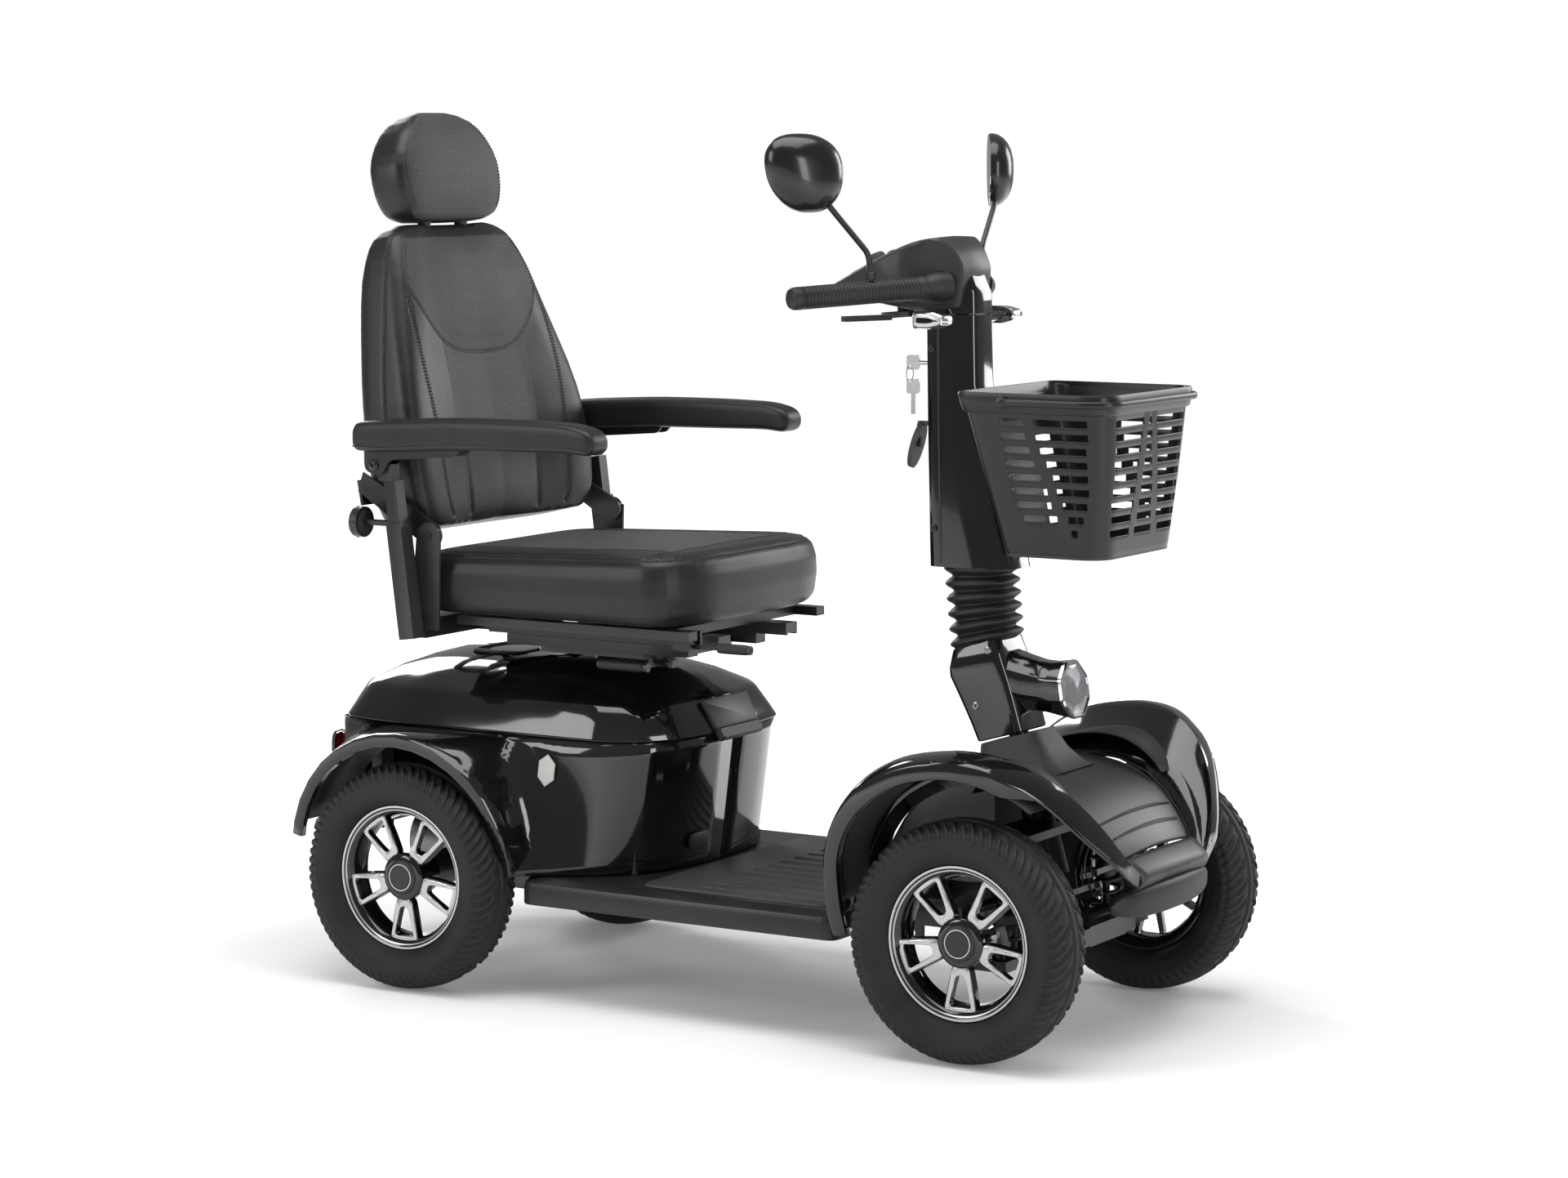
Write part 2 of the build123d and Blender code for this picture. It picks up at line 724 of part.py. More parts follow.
dash_low = Vector(172, 0, 1106)
dash_high = Vector(300, 0, 1168)
dash_dir = (dash_high - dash_low).normalized()
knob_plane = Plane(
    origin=dash_low + dash_dir * 70 + Vector(0, -38, 0),
    x_dir=(0, 1, 0),
    z_dir=dash_dir.cross(Vector(0, 1, 0)),
)
with BuildPart() as console:
    with BuildSketch(side_plane(75)):
        with BuildLine():
            Polyline(
                (166, 1086), (dash_low.X, dash_low.Z), (dash_high.X, dash_high.Z), (334, 1174),
                (362, 1164), (386, column_top), (318, column_top), (300, 1072), close=True,
            )
        make_face()
    extrude(amount=150)
    with BuildSketch(across(348, -80, 1100)):
        Circle(24)
    extrude(amount=160)
    # clear of the column cover and bored for the handlebar, the knob and the lever
    with Locations((352, 0, column_top - 40)):
        Box(90, 100, 80, mode=Mode.SUBTRACT)
    for s in (-1, 1):
        with BuildSketch(bar_plane(s).offset(-25)):
            Circle(bar_r + 0.3)
        extrude(amount=80, mode=Mode.SUBTRACT)
    with BuildSketch(knob_plane.offset(-14)):
        Circle(4 + run_fit)
    extrude(amount=30, mode=Mode.SUBTRACT)
    with BuildSketch(Plane.XY.offset(1070)):
        with Locations((262, 0)):
            Circle(5 + run_fit)
    extrude(amount=32, mode=Mode.SUBTRACT)
console.part.label = "console"
export_step(console.part, "parts/console.step")

# handlebar and grips, swept back towards the rider
with BuildPart() as handlebar:
    for s in (-1, 1):
        with BuildSketch(bar_plane(s).offset(-20)):
            Circle(bar_r)
        extrude(amount=bar_len + 16)
        with BuildSketch(bar_plane(s).offset(16)):
            Circle(grip_r)
        extrude(amount=bar_len - 16)
        with BuildSketch(Plane.XY.offset(mirror_root.Z)):
            with Locations((mirror_root.X, s * mirror_root.Y)):
                Circle(4 + run_fit)
        extrude(amount=40, mode=Mode.SUBTRACT)
handlebar.part.label = "handlebar"
export_step(handlebar.part, "parts/handlebar.step")

with BuildPart() as turn_signals:
    for s in (-1, 1):
        with Locations((368, s * 112, 1055)):
            Box(54, 34, 27)
        with BuildSketch(across(368, min(s * 48.3, s * 96), 1055)):
            Circle(7)
        extrude(amount=47.7)
turn_signals.part.label = "turn_signals"
export_step(turn_signals.part, "parts/turn_signals.step")

with BuildPart() as speed_knob:
    with BuildSketch(knob_plane.offset(-12)):
        Circle(4)
    extrude(amount=16)
    with BuildSketch(knob_plane.offset(1)):
        Circle(14)
    extrude(amount=12)
speed_knob.part.label = "speed_knob"
export_step(speed_knob.part, "parts/speed_knob.step")

# key with a split ring and a hanging spare
ring_r = 11.0
with BuildPart() as key:
    with BuildSketch(along(284, 0, key_z)):
        Circle(3)
    extrude(amount=20)
    with BuildSketch(side_plane(1.5)):
        with Locations((274, key_z), (274, key_z - 36)):
            RectangleRounded(22, 22, 4)
        with Locations((274, key_z - 62)):
            Rectangle(6, 32)
        with Locations((268, key_z - 6), (268, key_z - 6 - 2 * ring_r)):
            Circle(2.6, mode=Mode.SUBTRACT)
    extrude(amount=3)
    with BuildSketch(side_plane()):
        with Locations((268, key_z - 6)):
            Circle(0.8)
    ring_axis = Axis((268, 0, key_z - 6 - ring_r), (1, 0, 0))
    revolve(axis=ring_axis)
key.part.label = "key"
export_step(key.part, "parts/key.step")

# wigwag throttle lever under the grips
with BuildPart() as throttle_lever:
    with BuildSketch(Plane.XY.offset(1054)):
        with BuildLine():
            Polyline(
                (252, 60), (252, -60), (290, -116), (262, -196), (274, -200), (303, -118), (272, -60),
                (272, 60), (303, 118), (274, 200), (262, 196), (290, 116), close=True,
            )
        make_face()
    extrude(amount=8)
    with BuildSketch(Plane.XY.offset(1054)):
        with Locations((262, 0)):
            Circle(14)
    extrude(amount=14)
    with BuildSketch(Plane.XY.offset(1054)):
        with Locations((262, 0)):
            Circle(5)
    extrude(amount=44)
throttle_lever.part.label = "throttle_lever"
export_step(throttle_lever.part, "parts/throttle_lever.step")

# tiller release: bent rod and oval paddle behind the column
with BuildPart() as tilt_lever:
    with BuildSketch(across(release_x, -7, release_z)):
        Circle(6)
    extrude(amount=14)
    with Locations((296, 0, release_z)):
        Box(24, 7, 7)
    with Locations((286, 0, 876)):
        Box(7, 7, 36)
    with BuildSketch(Plane(origin=(278, 0, 862), x_dir=(0, 1, 0), z_dir=(1, 0, -0.3))):
        Ellipse(17, 36)
    extrude(amount=7)
    with BuildSketch(across(release_x, -7, release_z)):
        Circle(3 + run_fit)
    extrude(amount=14, mode=Mode.SUBTRACT)
tilt_lever.part.label = "tilt_lever"
export_step(tilt_lever.part, "parts/tilt_lever.step")

# mirrors on bent stalks
stalk_r = 4.5
for side, s in SIDES:
    bend = Vector(296, s * 173, 1152)
    neck = Vector(278, s * 249, 1218)
    head = Vector(256, s * 289, 1271)
    foot = Vector(mirror_root.X, s * mirror_root.Y, 1115)
    back = Vector(0.857, s * 0.515, 0)
    with BuildPart() as mirror:
        with BuildSketch(Plane(origin=(foot.X, foot.Y, mirror_root.Z + 1))):
            Circle(4)
        extrude(amount=20)
        with BuildSketch(Plane(origin=foot)):
            Circle(8)
        extrude(amount=12)
        for start, end in ((foot, bend), (bend, neck), (neck, head)):
            with BuildSketch(Plane(origin=start, z_dir=end - start)):
                Circle(stalk_r)
            extrude(amount=(end - start).length)
        with Locations(bend, neck):
            Sphere(stalk_r)
        with BuildSketch(Plane(origin=head - back * 8, z_dir=back)):
            Ellipse(64, 58)
        extrude(amount=12)
        with BuildSketch(Plane(origin=head + back * 4, z_dir=back)):
            Ellipse(64, 58)
        with BuildSketch(Plane(origin=head + back * 30, z_dir=back)):
            Ellipse(36, 32)
        loft()
    mirror.part.label = f"mirror_{side}"
    export_step(mirror.part, f"parts/mirror_{side}.step")

# --- basket and its bail handle -----------------------------------------------------------
basket_low, basket_top = 715.0, 955.0
basket_wall = 3.0
with BuildPart() as basket:
    with BuildSketch(Plane.XY.offset(basket_low)):
        column_plan(491, 655, 124, 30)
    with BuildSketch(Plane.XY.offset(basket_top)):
        column_plan(430, 672, 153, 36)
    loft()
    with BuildSketch(Plane.XY.offset(basket_top - 30)):
        column_plan(431, 677, 157, 38)
    extrude(amount=30)
    with BuildSketch(Plane.XY.offset(basket_low + basket_wall)):
        column_plan(491, 655, 124, 30, basket_wall)
    with BuildSketch(Plane.XY.offset(basket_top + 1)):
        column_plan(430, 672, 153, 36, basket_wall)
    loft(mode=Mode.SUBTRACT)
    # slotted walls
    for row in range(8):
        z = basket_low + 34 + 22 * row
        with Locations((515, 0, z), (600, 0, z)):
            Box(62, 400, 9, mode=Mode.SUBTRACT)
        with Locations((660, 48, z), (660, -48, z)):
            Box(60, 72, 9, mode=Mode.SUBTRACT)
    # hanging tab at the back and handle rivets
    with Locations((439, 0, 915)):
        Box(14, 60, 44)
    with BuildSketch(across(508, -167, 942)):
        Circle(4)
    extrude(amount=14)
    with BuildSketch(across(508, 153, 942)):
        Circle(4)
    extrude(amount=14)
basket.part.label = "basket"
export_step(basket.part, "parts/basket.step")

with BuildPart() as basket_handle:
    with BuildSketch(Plane.XY.offset(937)):
        with BuildLine():
            Polyline(
                (498, 158.5), (659, 158.5), (679.5, 138), (679.5, -138), (659, -158.5), (498, -158.5),
                (498, -164), (661, -164), (685, -140), (685, 140), (661, 164), (498, 164), close=True,
            )
        make_face()
    extrude(amount=10)
    with BuildSketch(across(508, -166, 942)):
        Circle(4 + run_fit)
    extrude(amount=332, mode=Mode.SUBTRACT)
basket_handle.part.label = "basket_handle"
export_step(basket_handle.part, "parts/basket_handle.step")

# --- seat: post, swivel plate, slide rails, pan ---------------------------------------------
with BuildPart() as seat_post:
    with BuildSketch(Plane.XY.offset(390)):
        with Locations((post_x, 0)):
            Circle(post_r)
    extrude(amount=122)
    with BuildSketch(Plane.XY.offset(507)):
        with Locations((post_x, 0)):
            Circle(46)
    extrude(amount=10)
    with BuildSketch(Plane.XY.offset(507)):
        with Locations((post_x, 0)):
            Circle(14)
    extrude(amount=30)
seat_post.part.label = "seat_post"
export_step(seat_post.part, "parts/seat_post.step")

swivel_pin_z = 513.0
with BuildPart() as swivel_plate:
    with BuildSketch(Plane.XY.offset(518)):
        with Locations((post_x, 0)):
            RectangleRounded(250, 230, 40)
    extrude(amount=8)
    with BuildSketch(Plane.XY.offset(518)):
        with Locations((post_x, 0)):
            Circle(30)
    extrude(amount=22)
    for s in (-1, 1):
        with Locations((-227, s * 100, 534)):
            Box(340, 28, 16)
    # hanger of the swivel release
    for x in (-126, -90):
        with Locations((x, -106, 514)):
            Box(8, 16, 12)
    with BuildSketch(along(-130, -106, swivel_pin_z)):
        Circle(2.5)
    extrude(amount=44)
    with BuildSketch(Plane.XY.offset(518)):
        with Locations((post_x, 0)):
            Circle(14 + run_fit)
    extrude(amount=22, mode=Mode.SUBTRACT)
swivel_plate.part.label = "swivel_plate"
export_step(swivel_plate.part, "parts/swivel_plate.step")

with BuildPart() as swivel_lever:
    with BuildSketch(along(-121, -106, swivel_pin_z)):
        Circle(4.6)
    extrude(amount=26)
    with BuildSketch(along(-112, 0, 0)):
        with BuildLine():
            Polyline((-108, 510), (-108, 516), (-190, 522), (-190, 514), close=True)
        make_face()
    extrude(amount=8)
    with BuildSketch(along(-170, -192, 518)):
        Circle(7)
    extrude(amount=90)
    with BuildSketch(along(-121, -106, swivel_pin_z)):
        Circle(2.5 + run_fit)
    extrude(amount=26, mode=Mode.SUBTRACT)
swivel_lever.part.label = "swivel_lever"
export_step(swivel_lever.part, "parts/swivel_lever.step")

with BuildPart() as seat_frame:
    for s in (-1, 1):
        with Locations((-215, s * 100, 552.5)):
            Box(430, 34, 19)
        with Locations((-215, s * 100, 544)):
            Box(440, 22, 4, mode=Mode.SUBTRACT)
        with Locations((-215, s * 190, 571)):
            Box(430, 24, 14)
        # side plates that carry the backrest
        with BuildSketch(side_plane(s * 258 + 2)):
            with BuildLine():
                Polyline((-478, 560), (-424, 560), (-420, 716), (-464, 716), close=True)
            make_face()
            with Locations(back_pivot):
                Circle(20)
        extrude(amount=4)
    for x in (-330, -60):
        with Locations((x, 0, 571)):
            Box(40, 400, 14)
    # armrest receiver behind the cushion, and the brackets that join it
    with Locations((-462, 0, 562)):
        Box(30, 524, 30)
    for s in (-1, 1):
        with Locations((-448, s * 100, 556)):
            Box(60, 34, 20)
        with Locations((-462, s * 200, 562)):
            Box(20.6, 160, 20.6, mode=Mode.SUBTRACT)
    # hoop at the back
    with BuildSketch(Plane.XY.offset(556)):
        with Locations((-515, 0)):
            RectangleRounded(90, 200, 40)
            RectangleRounded(66, 176, 28, mode=Mode.SUBTRACT)
    extrude(amount=12)
    with Locations((-462, 0, 562)):
        Box(20.6, 300, 20.6, mode=Mode.SUBTRACT)
    # bearing holes for the backrest pins, hanger of the slide release
    for s in (-1, 1):
        with BuildSketch(across(back_pivot[0], s * 258 - 3, back_pivot[1])):
            Circle(6 + run_fit)
        extrude(amount=6, mode=Mode.SUBTRACT)
    for y in (-148, -176):
        with Locations((-28, y, 560)):
            Box(32, 6, 28)
    with BuildSketch(across(-24, -178, 552)):
        Circle(4)
    extrude(amount=32)
seat_frame.part.label = "seat_frame"
export_step(seat_frame.part, "parts/seat_frame.step")

with BuildPart() as slide_lever:
    with BuildSketch(across(-24, -172, 552)):
        Circle(8)
    extrude(amount=20)
    with Locations((20, -162, 552)):
        Box(76, 7, 7)
    with BuildSketch(along(30, -162, 552)):
        Circle(7)
    extrude(amount=56)
    with BuildSketch(across(-24, -172, 552)):
        Circle(4 + run_fit)
    extrude(amount=20, mode=Mode.SUBTRACT)
slide_lever.part.label = "slide_lever"
export_step(slide_lever.part, "parts/slide_lever.step")

with BuildPart() as seat_cushion:
    with BuildSketch(Plane.XY.offset(cushion_low)):
        with Locations((-225, 0)):
            RectangleRounded(480, 470, 70)
    with BuildSketch(Plane(origin=(-225, 0, 694), z_dir=(-0.03, 0, 1))):
        RectangleRounded(500, 500, 80)
    loft()
    fillet(seat_cushion.edges().group_by(Axis.Z)[-1], 8)
seat_cushion.part.label = "seat_cushion"
export_step(seat_cushion.part, "parts/seat_cushion.step")

# --- armrests: sliding posts with clamp knobs, and flip-up arms ---------------------------------
post_foot = Vector(-458, 0, 548)
post_head = Vector(-490, 0, 794)
for side, s in SIDES:
    off = Vector(0, s * seat_y, 0)
    with BuildPart() as post:
        with BuildSketch(Plane(origin=post_foot + off, x_dir=(0, 1, 0), z_dir=post_head - post_foot)):
            Rectangle(28, 28)
        extrude(amount=180)
        with BuildSketch(Plane(origin=post_foot + off, x_dir=(0, 1, 0), z_dir=post_head - post_foot)):
            Rectangle(22, 22)
        extrude(amount=246)
        with Locations((-462, s * 210, 562)):
            Box(20, 140, 20)
        with BuildSketch(across(arm_pivot[0], s * seat_y - 10, arm_pivot[1])):
            Circle(15)
        extrude(amount=20)
        with Locations((-498, s * seat_y, 806)):
            Box(26, 20, 26)
        with BuildSketch(across(arm_pivot[0], s * seat_y - 18, arm_pivot[1])):
            Circle(5)
        extrude(amount=36)
        # clamp knob
        with BuildSketch(along(-560, s * seat_y, 726)):
            Circle(24)
        extrude(amount=14)
        with BuildSketch(along(-548, s * seat_y, 726)):
            Circle(5)
        extrude(amount=66)
    post.part.label = f"armrest_post_{side}"
    export_step(post.part, f"parts/armrest_post_{side}.step")

    with BuildPart() as arm_pad:
        with BuildSketch(side_plane(s * seat_y + 28)):
            with BuildLine():
                Polyline((-552, 842), (-552, 880), (-366, 895), (-180, 895), (-104, 888),
                         (-104, 850), (-125, 836), (-500, 838), close=True)
            make_face()
        extrude(amount=56)
        for y in (s * seat_y + 11, s * seat_y - 16):
            with BuildSketch(across(arm_pivot[0], y, arm_pivot[1])):
                Circle(15)
            extrude(amount=5)
            with Locations((arm_pivot[0], y + 2.5, arm_pivot[1] + 14)):
                Box(30, 5, 28)
        with BuildSketch(across(arm_pivot[0], s * seat_y - 17, arm_pivot[1])):
            Circle(5 + run_fit)
        extrude(amount=34, mode=Mode.SUBTRACT)
    arm_pad.part.label = f"armrest_{side}"
    export_step(arm_pad.part, f"parts/armrest_{side}.step")

# --- backrest: folding frame, pad and headrest ------------------------------------------------
back_up = Vector(-sin(radians(back_lean)), 0, cos(radians(back_lean)))
back_front = Vector(cos(radians(back_lean)), 0, sin(radians(back_lean)))
back_foot = Vector(-466, 0, 716)         # lower front edge of the backrest


def leaning(height, depth=0.0):
    """Plane square to the backrest, height up it and depth behind its front face."""
    return Plane(
        origin=back_foot + back_up * height - back_front * depth,
        x_dir=(0, 1, 0),
        z_dir=back_up,
    )


stem_y = 50.0
stem_depth = 48.0
# rows are height up the back, half width, thickness, corner radius, depth behind the front face
back_rows = (
    ((0, 205, 80, 30, 0), (70, 243, 92, 34, 0), (150, 242, 94, 34, 0)),
    ((150, 242, 94, 34, 0), (380, 182, 90, 34, 0)),
    ((380, 182, 90, 34, 0), (470, 146, 78, 30, 0), (482, 120, 56, 24, 11)),
)
with BuildPart() as backrest:
    for rows in back_rows:
        for height, half, thick, radius, start in rows:
            with BuildSketch(leaning(height, start + thick / 2)):
                RectangleRounded(2 * half, thick, radius - 10)
        loft()
    with BuildSketch(leaning(350, stem_depth)):
        with Locations((stem_y, 0), (-stem_y, 0)):
            Circle(6 + run_fit)
    extrude(amount=150, mode=Mode.SUBTRACT)
backrest.part.label = "backrest"
export_step(backrest.part, "parts/backrest.step")

with BuildPart() as back_frame:
    for s in (-1, 1):
        with BuildSketch(side_plane(s * 251.5 + 2)):
            with Locations(back_pivot):
                Circle(20)
            with BuildLine():
                Polyline(
                    (back_pivot[0] - 6, back_pivot[1] - 20), (back_pivot[0] + 8, back_pivot[1] + 18),
                    (-572, 800), (-582, 770), close=True,
                )
            make_face()
        extrude(amount=4)
        with BuildSketch(across(back_pivot[0], min(s * 250, s * 262), back_pivot[1])):
            Circle(6)
        extrude(amount=12)
    with BuildSketch(leaning(50, 101)):
        Rectangle(507, 5)
    extrude(amount=40)
    with BuildSketch(leaning(20, 97)):
        Rectangle(360, 4)
    extrude(amount=330)
back_frame.part.label = "back_frame"
export_step(back_frame.part, "parts/back_frame.step")

head_rows = (
    (488, 124, 62, 24, 6), (540, 142, 92, 30, 0), (600, 134, 90, 30, 0), (662, 92, 56, 24, 16),
)
with BuildPart() as headrest:
    for height, half, thick, radius, start in head_rows:
        with BuildSketch(leaning(height, start + thick / 2)):
            RectangleRounded(2 * half, thick, radius)
    loft()
    with BuildSketch(leaning(370, stem_depth)):
        with Locations((stem_y, 0), (-stem_y, 0)):
            Circle(6)
    extrude(amount=150)
headrest.part.label = "headrest"
export_step(headrest.part, "parts/headrest.step")
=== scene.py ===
from math import cos, pi, radians, sin, sqrt

import bpy
import numpy as np
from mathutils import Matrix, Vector
from mathutils.bvhtree import BVHTree
from mathutils.kdtree import KDTree


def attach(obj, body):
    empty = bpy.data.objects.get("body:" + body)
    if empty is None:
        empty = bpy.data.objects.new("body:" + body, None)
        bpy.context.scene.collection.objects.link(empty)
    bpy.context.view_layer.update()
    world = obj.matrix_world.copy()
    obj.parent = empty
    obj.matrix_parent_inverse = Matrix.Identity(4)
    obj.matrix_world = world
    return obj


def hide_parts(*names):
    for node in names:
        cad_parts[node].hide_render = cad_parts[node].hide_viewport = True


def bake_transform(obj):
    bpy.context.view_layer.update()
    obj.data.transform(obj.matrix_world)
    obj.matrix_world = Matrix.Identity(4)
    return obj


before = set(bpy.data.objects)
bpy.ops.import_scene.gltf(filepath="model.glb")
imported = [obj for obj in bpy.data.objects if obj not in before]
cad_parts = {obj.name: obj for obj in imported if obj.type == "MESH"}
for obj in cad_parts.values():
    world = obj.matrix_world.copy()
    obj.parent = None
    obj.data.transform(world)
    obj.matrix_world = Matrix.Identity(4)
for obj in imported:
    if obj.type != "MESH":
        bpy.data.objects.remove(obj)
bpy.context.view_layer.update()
SIDES = (("right", -1), ("left", 1))

# every length below is in millimetres and turns into metres as its mesh is made
MM = 0.001
M = 1000  # millimetres in a metre
REAR_X, FRONT_X, AXLE_Z = -455.0, 531.0, 178.0
TRACK = 296.0  # middle of a tyre from the middle plane
UP = Vector((0, 0, 1))
# the steering axis leans back through the front axle: U runs up it and F forward of it
LEAN = radians(16)
U = Vector((-sin(LEAN), 0, cos(LEAN)))
F = Vector((cos(LEAN), 0, sin(LEAN)))
HEAD = Vector((FRONT_X, 0, AXLE_Z))


# --- materials -------------------------------------------------------------------------
def add_node(tree, kind, **inputs):
    node = tree.nodes.new("ShaderNode" + kind)
    for name, value in inputs.items():
        node.inputs[name.replace("_", " ")].default_value = value
    return node


def shader(name, color, rough, metallic=0.0, spots=0.25, spot_scale=9.0, rough_var=0.06, grain=600.0,
           bump=0.15, depth=0.0002, pattern="noise", coat=0.0, sheen=0.0, transmission=0.0, spec=0.36,
           stretch=(1, 1, 1), wear=0.0):
    """Cloudy colour and roughness, worn edges, and a fine grain, leather, weave or brushed bump."""
    m = bpy.data.materials.new(name)
    m.use_nodes = True
    t = m.node_tree
    p = t.nodes["Principled BSDF"]
    link = t.links.new
    for key, value in (("Metallic", metallic), ("Specular IOR Level", spec), ("Coat Weight", coat),
                       ("Coat Roughness", 0.04), ("Sheen Weight", sheen), ("Sheen Roughness", 0.5),
                       ("Transmission Weight", transmission)):
        p.inputs[key].default_value = value
    co = add_node(t, "TexCoord")
    mp = add_node(t, "Mapping", Scale=stretch)
    link(co.outputs["Object"], mp.inputs["Vector"])
    cloud = add_node(t, "TexNoise", Scale=spot_scale, Detail=6)
    link(mp.outputs[0], cloud.inputs["Vector"])
    ramp = add_node(t, "ValToRGB")
    low, high = ramp.color_ramp.elements
    low.color, low.position = (*[c * (1 - spots) for c in color], 1), 0.3
    high.color, high.position = (*[min(1, c * (1 + spots) + 0.002) for c in color], 1), 0.7
    link(cloud.outputs["Fac"], ramp.inputs["Fac"])
    colour = ramp.outputs["Color"]
    if wear:
        geo = add_node(t, "NewGeometry")
        edge = add_node(t, "MapRange", From_Min=0.53, From_Max=0.62)
        link(geo.outputs["Pointiness"], edge.inputs["Value"])
        mix = add_node(t, "MixRGB", Color2=(*[min(1, c * 2.2 + 0.05) for c in color], 1))
        fac = add_node(t, "Math")
        fac.operation = "MULTIPLY"
        fac.inputs[1].default_value = wear
        link(edge.outputs[0], fac.inputs[0])
        link(fac.outputs[0], mix.inputs["Fac"])
        link(colour, mix.inputs["Color1"])
        colour = mix.outputs["Color"]
    link(colour, p.inputs["Base Color"])
    rr = add_node(t, "MapRange", To_Min=max(0.02, rough - rough_var), To_Max=min(1, rough + rough_var))
    link(cloud.outputs["Fac"], rr.inputs["Value"])
    link(rr.outputs[0], p.inputs["Roughness"])
    if bump:
        b = add_node(t, "Bump", Strength=bump, Distance=depth)
        if pattern == "leather":
            tex = add_node(t, "TexVoronoi", Scale=grain)
            tex.feature = "DISTANCE_TO_EDGE"
            sq = add_node(t, "Math")
            sq.operation = "POWER"
            sq.inputs[1].default_value = 0.5
            link(tex.outputs["Distance"], sq.inputs[0])
            height = sq.outputs[0]
        elif pattern == "weave":
            tex = add_node(t, "TexVoronoi", Scale=grain, Randomness=0.7)
            height = tex.outputs["Distance"]
            tint = add_node(t, "MixRGB", Fac=0.6)
            tint.blend_type = "MULTIPLY"
            link(colour, tint.inputs["Color1"])
            link(height, tint.inputs["Color2"])
            link(tint.outputs[0], p.inputs["Base Color"])
        else:
            tex = add_node(t, "TexNoise", Scale=grain, Detail=2 if pattern == "brush" else 3)
            height = tex.outputs["Fac"]
        link(mp.outputs[0], tex.inputs["Vector"])
        link(height, b.inputs["Height"])
        link(b.outputs["Normal"], p.inputs["Normal"])
    return m


GLOSS = shader("gloss_black", (0.0045, 0.0045, 0.005), 0.09, spots=0.3, rough_var=0.03, grain=90, bump=0.05,
               depth=0.0003, coat=0.5, wear=0.12)
SATIN = shader("satin_grey", (0.022, 0.0225, 0.024), 0.42, grain=1400, bump=0.22, wear=0.25)
SOFT = shader("soft_grey", (0.03, 0.031, 0.033), 0.55, grain=1200, bump=0.3, wear=0.2)
DECK = shader("deck_black", (0.012, 0.012, 0.0125), 0.34, grain=900, bump=0.3, wear=0.35)
MAT = shader("mat_rubber", (0.035, 0.036, 0.038), 0.5, grain=1500, bump=0.5, spots=0.3, wear=0.2)
RUBBER = shader("black_rubber", (0.012, 0.012, 0.0125), 0.5, grain=700, bump=0.3, spots=0.35, wear=0.25)
TYRE = shader("tyre_rubber", (0.0095, 0.0095, 0.0097), 0.62, grain=450, bump=0.4, spots=0.45, spot_scale=14,
              rough_var=0.1, wear=0.35)
STEEL = shader("black_steel", (0.012, 0.012, 0.013), 0.3, grain=500, bump=0.12, wear=0.3)
CAST = shader("cast_metal", (0.2, 0.2, 0.205), 0.45, metallic=0.9, grain=380, bump=0.45, spots=0.3)
PLATED = shader("plated_steel", (0.36, 0.36, 0.36), 0.3, metallic=1.0, grain=300, bump=0.08)
CHROME = shader("chrome", (0.78, 0.78, 0.79), 0.07, metallic=1.0, grain=120, bump=0.03, rough_var=0.03,
                spots=0.05)
SILVER = shader("machined_alloy", (0.52, 0.52, 0.53), 0.3, metallic=0.85, grain=160, bump=0.12, spots=0.06,
                stretch=(1, 18, 1), pattern="brush")
LEATHER = shader("leatherette", (0.0062, 0.0064, 0.0068), 0.4, grain=560, bump=0.35, depth=0.0003,
                 pattern="leather", sheen=0.02, spec=0.4, spots=0.25, spot_scale=6, rough_var=0.08)
WOVEN = shader("woven_panel", (0.045, 0.046, 0.049), 0.55, grain=330, bump=0.6, depth=0.0008, pattern="weave",
               sheen=0.05, spots=0.15)
THREAD = shader("thread", (0.03, 0.03, 0.032), 0.6, grain=2500, bump=0.5, sheen=0.2)
SKIN = shader("moulded_foam", (0.0085, 0.0085, 0.009), 0.42, grain=800, bump=0.35, wear=0.2)
BASKET = shader("basket_plastic", (0.008, 0.008, 0.0085), 0.33, grain=900, bump=0.2, wear=0.3)
SHELL = shader("moulded_shell", (0.008, 0.008, 0.0085), 0.26, grain=600, bump=0.12, coat=0.2, wear=0.15)
PLAIN = shader("matte_case", (0.02, 0.02, 0.021), 0.6, grain=600, bump=0.3)
RED = shader("red_lens", (0.35, 0.006, 0.006), 0.12, grain=260, bump=0.5, depth=0.0006, coat=0.5, spots=0.1)
LENS = shader("clear_lens", (0.8, 0.81, 0.83), 0.05, grain=200, bump=0.2, transmission=0.85, spots=0.03)
AMBER = shader("reflector_cells", (0.5, 0.5, 0.52), 0.16, metallic=0.6, grain=420, bump=0.6, depth=0.0008)
MIRROR = shader("mirror_face", (0.82, 0.83, 0.84), 0.03, metallic=1.0, bump=0.0, spots=0.02, rough_var=0.01)
REFLEX = shader("reflex_white", (0.55, 0.55, 0.53), 0.2, grain=900, bump=0.8, depth=0.0005, pattern="leather")


